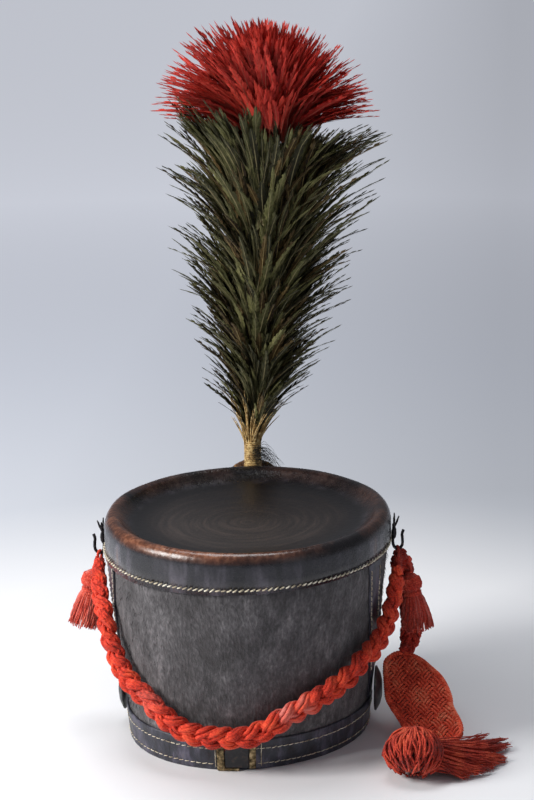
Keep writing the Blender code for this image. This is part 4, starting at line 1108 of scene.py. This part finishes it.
def feather_unit(name, wide, barbs, sweep, curve, gap, seed):
    """A unit feather along +Y, one long: separate barbs on both sides of a shaft, curving towards +Z."""
    chance = np.random.default_rng(seed)
    verts, faces, vane = [], [], []

    def spine(y):
        """A place on the curved shaft."""
        return np.array((0.0, y, curve * y * y))

    for k in range(barbs):
        y0 = 0.05 + 0.93 * k / barbs
        y1 = y0 + 0.93 / barbs * gap
        for side in (-1.0, 1.0):
            full = wide * math.sin(math.pi * min(1.0, (y0 * 0.86 + 0.12)) ** 0.9) ** 0.8
            out = full * (0.56 + 0.52 * chance.random())
            reach = out * sweep * (0.9 + 0.3 * chance.random())
            cup = -0.010 * out + 0.006 * chance.normal()
            a, b = spine(y0), spine(min(y1, 1.0))
            tip_a = spine(min(y0 + reach, 1.04)) + np.array((side * out, 0.0, cup))
            tip_b = spine(min(y1 + reach, 1.06)) + np.array((side * out * 0.82, 0.0, cup * 0.8))
            base = len(verts)
            verts += [a, b, tip_b, tip_a]
            vane += [(0.0, y0, 0.0), (0.0, y1, 0.0), (0.85, y1, 0.0), (1.0, y0, 0.0)]
            corners = [base + 1, base + 2, base + 3]
            faces.append((base, *(corners[::-1] if side > 0 else corners)))
    for k in range(3):
        y0, y1 = k / 3.0, (k + 1) / 3.0
        base = len(verts)
        for y in (y0, y1):
            thick = 0.11 * (1.02 - y)
            verts += [spine(y) + np.array((-thick, 0, 0.001)), spine(y) + np.array((0, 0, 0.006 * (1.1 - y))),
                      spine(y) + np.array((thick, 0, 0.001))]
            vane += [(0.0, y, 0.0)] * 3
        faces += [(base, base + 1, base + 4, base + 3), (base + 1, base + 2, base + 5, base + 4)]
    mesh = bpy.data.meshes.new(name)
    mesh.from_pydata([tuple(v) for v in verts], [], faces)
    flat_vane = np.asarray(vane, "f").ravel()
    mesh.attributes.new("vane", "FLOAT_VECTOR", "POINT").data.foreach_set("vector", flat_vane)
    made = bpy.data.objects.new(name, mesh)
    made["curve"] = curve
    bpy.context.scene.collection.objects.link(made)
    return made


def feathers(name, unit, feet, tips, wide, skin, shades, slot_name, *nodes):
    """Feathers from feet to tips; their outer face looks away from the plume's axis."""
    away = tips - np.array([[stem_x + 0.012, stem_y, 0.0]])
    away[:, 2] = 0.0
    away /= np.linalg.norm(away, axis=1)[:, None] + 1e-9
    ahead = tips - feet
    long = np.linalg.norm(ahead, axis=1)
    ahead = ahead / long[:, None]
    up = away - (away * ahead).sum(1)[:, None] * ahead
    up /= np.linalg.norm(up, axis=1)[:, None] + 1e-9
    bend = math.atan(unit["curve"])
    ahead, up = ahead * math.cos(bend) - up * math.sin(bend), up * math.cos(bend) + ahead * math.sin(bend)
    long = long * math.cos(bend)
    up = up + plume_chance.normal(0, 0.25, up.shape)
    sizes = np.stack([wide, long, long], 1)
    return seat(repeat(name, unit, feet, ahead, up, sizes, skin, shades), slot_name, *nodes)


# Lower plume: about two thousand dark cock feathers, green, olive and black brown, in a widening column.
# HALF_WIDTH holds tip height and half width, CORE foot height and radius, PLUME_DEEP depth by width.
plume_chance = np.random.default_rng(77)
HALF_WIDTH = np.array([(0.225, 0.020), (0.241, 0.037), (0.262, 0.051), (0.295, 0.064), (0.342, 0.075),
                       (0.396, 0.085), (0.440, 0.092), (0.463, 0.098), (0.500, 0.090)])
PLUME_DEEP = 0.72
CORE = np.array([(0.204, 0.003), (0.240, 0.008), (0.300, 0.022), (0.380, 0.036), (0.450, 0.044)])
green_skin = feather_skin("dark_cock_feather", [(0.12, "120f0a"), (0.36, "2e2c18"), (0.54, "555430"),
                                                (0.72, "858350"), (0.93, "bab584")], "958a64", "33361f")
brown_skin = feather_skin("brown_cock_feather", [(0.10, "100b07"), (0.40, "332614"), (0.65, "5f4a28"),
                                                 (0.92, "9a8250")], "a08c5c", "3d3420")
wide_unit = feather_unit("wide_feather_unit", 1.0, 23, 0.10, 0.24, 1.2, 1)
thin_unit = feather_unit("thin_feather_unit", 1.0, 17, 0.17, 0.34, 0.95, 2)
for name, count, unit, skin, seed, width_of, inner in (
        ("plume_lower", 900, wide_unit, green_skin, 5, 0.0037, 0.40),
        ("plume_lower_brown", 560, wide_unit, brown_skin, 6, 0.0035, 0.36),
        ("plume_lower_wisps", 620, thin_unit, green_skin, 7, 0.0019, 0.55)):
    chance = np.random.default_rng(seed)
    rise = chance.random(count) ** 0.80
    foot_z = 0.2010 + 0.2300 * rise
    turn = chance.random(count) * 2 * math.pi
    long = (0.046 + 0.036 * chance.random(count)) * (0.78 + 0.30 * rise)
    tip_z = foot_z + long * (0.70 + 0.22 * chance.random(count))
    tip_z = np.minimum(tip_z, 0.482 - 0.015 * np.cos(turn) + 0.010 * np.clip(-np.sin(turn), 0, 1)
                       - 0.014 * chance.random(count))
    tip_r = np.interp(tip_z, HALF_WIDTH[:, 0], HALF_WIDTH[:, 1])
    tip_r = tip_r * (inner + (1.05 - inner) * chance.random(count) ** 1.9)
    foot_r = np.interp(foot_z, CORE[:, 0], CORE[:, 1]) * (0.45 + 0.55 * chance.random(count))
    shift_foot = np.interp(foot_z, (0.205, 0.45), (0.0, 0.019))
    shift_tip = np.interp(tip_z, (0.205, 0.45), (0.002, 0.021))
    foot_y = stem_y + PLUME_DEEP * foot_r * np.sin(turn)
    feet = np.stack([stem_x + shift_foot + foot_r * np.cos(turn), foot_y, foot_z], 1)
    turn_tip = turn + chance.normal(0, 0.12, count)
    tip_y = stem_y + PLUME_DEEP * tip_r * np.sin(turn_tip)
    tips = np.stack([stem_x + shift_tip + tip_r * np.cos(turn_tip), tip_y, tip_z], 1)
    tone = 0.18 + 0.62 * chance.random(count) ** 1.3
    nodes = ("plume_lower",) if name == "plume_lower" else ()
    feathers(name, unit, feet, tips,
             width_of * (0.7 + 0.6 * chance.random(count)), skin, tone, "dark_feather", *nodes)

# Upper plume: scarlet hackles that open in a fan above the green, deep red in the middle.
red_skin = feather_skin("scarlet_hackle", [(0.10, "4a0d0b"), (0.38, "7f1814"), (0.60, "b3281f"),
                                           (0.90, "da4a36")], "a8503f", "c93a2c")
for name, count, unit, seed, width_of, low in (("plume_upper", 680, wide_unit, 15, 0.0044, 0.0),
                                               ("plume_upper_wisps", 420, thin_unit, 16, 0.0021, 0.10)):
    chance = np.random.default_rng(seed)
    turn = chance.random(count) * 2 * math.pi
    most = np.radians(40.0 + 48.0 * np.cos(turn) ** 2)
    lean = most * (low + (1.0 - low) * chance.random(count)) ** 0.62
    far = 0.0830 + (0.013 - 0.009 * np.cos(turn)) * np.clip(lean / 0.8, 0, 1)
    far = far * (0.62 + 0.38 * chance.random(count) ** 0.7)
    way = np.stack([np.sin(lean) * np.cos(turn), PLUME_DEEP * np.sin(lean) * np.sin(turn), np.cos(lean)], 1)
    middle = np.array((stem_x + 0.022, stem_y, 0.4740))
    tips = middle + way * far[:, None]
    foot_r = 0.004 + 0.016 * chance.random(count) * np.clip(lean / 0.9, 0.2, 1.0)
    feet = np.stack([middle[0] + foot_r * np.cos(turn), middle[1] + PLUME_DEEP * foot_r * np.sin(turn),
                     0.458 + 0.020 * chance.random(count)], 1)
    tone = 0.10 + 0.35 * np.clip(lean / 1.2, 0, 1) + 0.50 * chance.random(count) ** 1.4
    nodes = ("plume_upper",) if name == "plume_upper" else ()
    feathers(name, unit, feet, tips,
             width_of * (0.7 + 0.6 * chance.random(count)), red_skin, tone, "red_feather", *nodes)

# Short scarlet feathers in the middle of the back, and green points that reach up into the red.
chance = np.random.default_rng(19)
count = 60
feet = np.stack([0.002 + 0.020 * chance.random(count), 0.100 + 0.010 * chance.random(count),
                 0.470 + 0.008 * chance.random(count)], 1)
tips = feet + np.stack([0.008 * chance.normal(size=count), -0.004 - 0.008 * chance.random(count),
                        0.018 + 0.022 * chance.random(count)], 1)
feathers("plume_front_red", thin_unit, feet, tips, 0.0022 + 0.0012 * chance.random(count), red_skin,
         0.45 + 0.4 * chance.random(count), "red_feather")
count = 110
turn = math.pi * (0.55 + 0.9 * chance.random(count))
tips = np.stack([stem_x + 0.020 + 0.080 * np.cos(turn), stem_y - 0.055 * np.sin(turn),
                 0.470 + 0.030 * chance.random(count)], 1)
feet = np.stack([stem_x + 0.020 + 0.040 * np.cos(turn), stem_y - 0.028 * np.sin(turn),
                 np.full(count, 0.425)], 1)
feathers("plume_green_points", thin_unit, feet, tips, 0.0028 + 0.0014 * chance.random(count),
         green_skin, 0.2 + 0.5 * chance.random(count), "dark_feather")
for unit in (stitch, wide_unit, thin_unit):
    bpy.data.objects.remove(unit)

# Down at the foot of the plume: thin dark hairs that droop over the rim.
count = 70
roots = np.stack([stem_x + 0.008 * chance.random(count), np.full(count, stem_y - 0.008),
                  0.188 + 0.014 * chance.random(count)], 1)
ends = roots + np.stack([0.004 + 0.018 * chance.random(count), -0.006 * chance.random(count),
                         -0.004 - 0.016 * chance.random(count)], 1)
s = np.linspace(0, 1, 7)[None, :, None]
droop = roots[:, None] * (1 - s) + ends[:, None] * s + np.array((0, 0, 0.006)) * s * (1 - s) * 4
down_skin = feather_skin("dark_down", [(0.1, "0b0a08"), (0.5, "1c1a12"), (0.9, "3a3725")], "1c1a12", "2a281a")
down_widths = [[0.00022, 0.0002, 0.00018, 0.00016, 0.00013, 0.0001, 0.00005]]
seat(strands("plume_down", droop, down_widths, down_skin, 3), "dark_feather")

# Pale shafts of the lowest feathers, gathered in the straw binding.
count = 90
turn = chance.random(count) * 2 * math.pi
start_r, end_r = 0.0030 + 0.0036 * chance.random(count), 0.010 + 0.017 * chance.random(count)
end_z = 0.222 + 0.030 * chance.random(count)
s = np.linspace(0, 1, 6)[None, :]
reach = start_r[:, None] + (end_r - start_r)[:, None] * s ** 1.6
shafts = np.stack([stem_x + 0.004 * s ** 2 + reach * np.cos(turn)[:, None],
                   stem_y + 0.8 * reach * np.sin(turn)[:, None], 0.1985 + (end_z[:, None] - 0.1985) * s], 2)
seat(strands("plume_shafts", shafts, [[0.00075, 0.0007, 0.0006, 0.0005, 0.0004, 0.0002]], straw, 5), "quill")

# Felt nap: short bent hairs in tufts over the outside of the felt, mostly along the grain.
chance = np.random.default_rng(41)
hair = strands("hair_unit", [[(0, 0, -0.1), (0.03, 0.45, 0.16), (-0.02, 1.0, 0.30)]], [[0.05, 0.045, 0.015]],
               felt, 3)
count = 4800
turn = chance.random(count) * 2 * math.pi
rise = 0.028 + 0.124 * chance.random(count)
spots = settle(turn, rise, felt_radius(rise))
out = outward(turn)
way = np.stack([0.5 * chance.normal(size=count), 0.5 * chance.normal(size=count),
                -1.0 - chance.random(count)], 1)
way = way - (way * out).sum(1)[:, None] * out
long = 0.0016 + 0.0028 * chance.random(count) ** 2
nap = repeat("felt_nap", hair, spots, way, out, np.stack([long * 0.9, long, long], 1), felt,
             chance.random(count))
seat(nap, "felt")
bpy.data.objects.remove(hair)

# Floor and light: a wide white floor that turns pale blue-grey far out, lit softly from the upper left.
sweep, tree, shader = new_material("white_sweep")
place = object_place(tree)
split = node(tree, "ShaderNodeSeparateXYZ", [("Vector", place)])
away = node(tree, "ShaderNodeVectorMath", [(0, place)], operation="LENGTH")
rise = spread(tree, away.outputs["Value"], 0.0, 3.0)
# Painted shadow: the floor behind the hat darkens towards the right.
right_painted_shadow = spread(tree, split.outputs["X"], -0.30, 0.20, 1.0, 0.74)
behind = spread(tree, split.outputs["Y"], 0.25, 0.65)
painted_shadow_share = node(tree, "ShaderNodeMix", [("Factor", behind), ("A", 1.0), ("B", right_painted_shadow)])
sweep_tone = ramp(tree, rise, [(0.13, "ecedf0"), (0.21, "cfd3db"), (0.40, "c4c9d4"), (0.80, "b4b9c6")])
toned = node(tree, "ShaderNodeVectorMath", [(0, sweep_tone)], operation="SCALE")
tree.links.new(painted_shadow_share.outputs[0], toned.inputs["Scale"])
tree.links.new(toned.outputs[0], shader.inputs["Base Color"])
# Painted light: the floor glows more the further out it lies, and less on the right.
glow = spread(tree, away.outputs["Value"], 0.55, 2.4, 0.0, 0.50)
glow_by = maths(tree, "MULTIPLY", glow, painted_shadow_share.outputs[0])
shader.inputs["Emission Color"].default_value = srgb("eff2fb")
tree.links.new(glow_by, shader.inputs["Emission Strength"])
shader.inputs["Roughness"].default_value = 0.6
verts = [(x, y, 0.0) for y in (-9.0, 9.0) for x in (-9.0, 9.0)]
faces = [(0, 1, 3, 2)]
floor = piece("floor", verts, faces, sweep)
floor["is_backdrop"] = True
# Columns: name, place, aim, width, height, power, colour
LIGHTS = [
    ("key_light", (-1.45, -0.70, 1.05), (0.0, 0.0, 0.20), 0.7, 0.7, 40.0, (1.0, 0.985, 0.96)),
    ("fill_light", (1.3, -1.4, 0.8), (0.0, 0.0, 0.2), 1.2, 1.2, 1.5, (0.90, 0.94, 1.0)),
    ("top_light", (-0.25, 0.35, 1.75), (0.0, 0.0, 0.1), 0.9, 0.8, 17.0, (0.97, 0.98, 1.0)),
]
for name, spot, aim, wide, tall, power, colour in LIGHTS:
    lamp = bpy.data.lights.new(name, "AREA")
    lamp.shape = "RECTANGLE"
    lamp.size = wide
    lamp.size_y = tall
    lamp.energy = power
    lamp.color = colour
    held = bpy.data.objects.new(name, lamp)
    held.location = spot
    held.rotation_mode = "QUATERNION"
    held.rotation_quaternion = (Vector(aim) - Vector(spot)).to_track_quat("-Z", "Y")
    bpy.context.scene.collection.objects.link(held)
world = bpy.data.worlds.new("studio")
world.use_nodes = True
world.node_tree.nodes["Background"].inputs["Color"].default_value = srgb("e6e9f2")
world.node_tree.nodes["Background"].inputs["Strength"].default_value = 0.21
bpy.context.scene.world = world
bpy.context.scene.view_settings.view_transform = "Standard"

low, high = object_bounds()
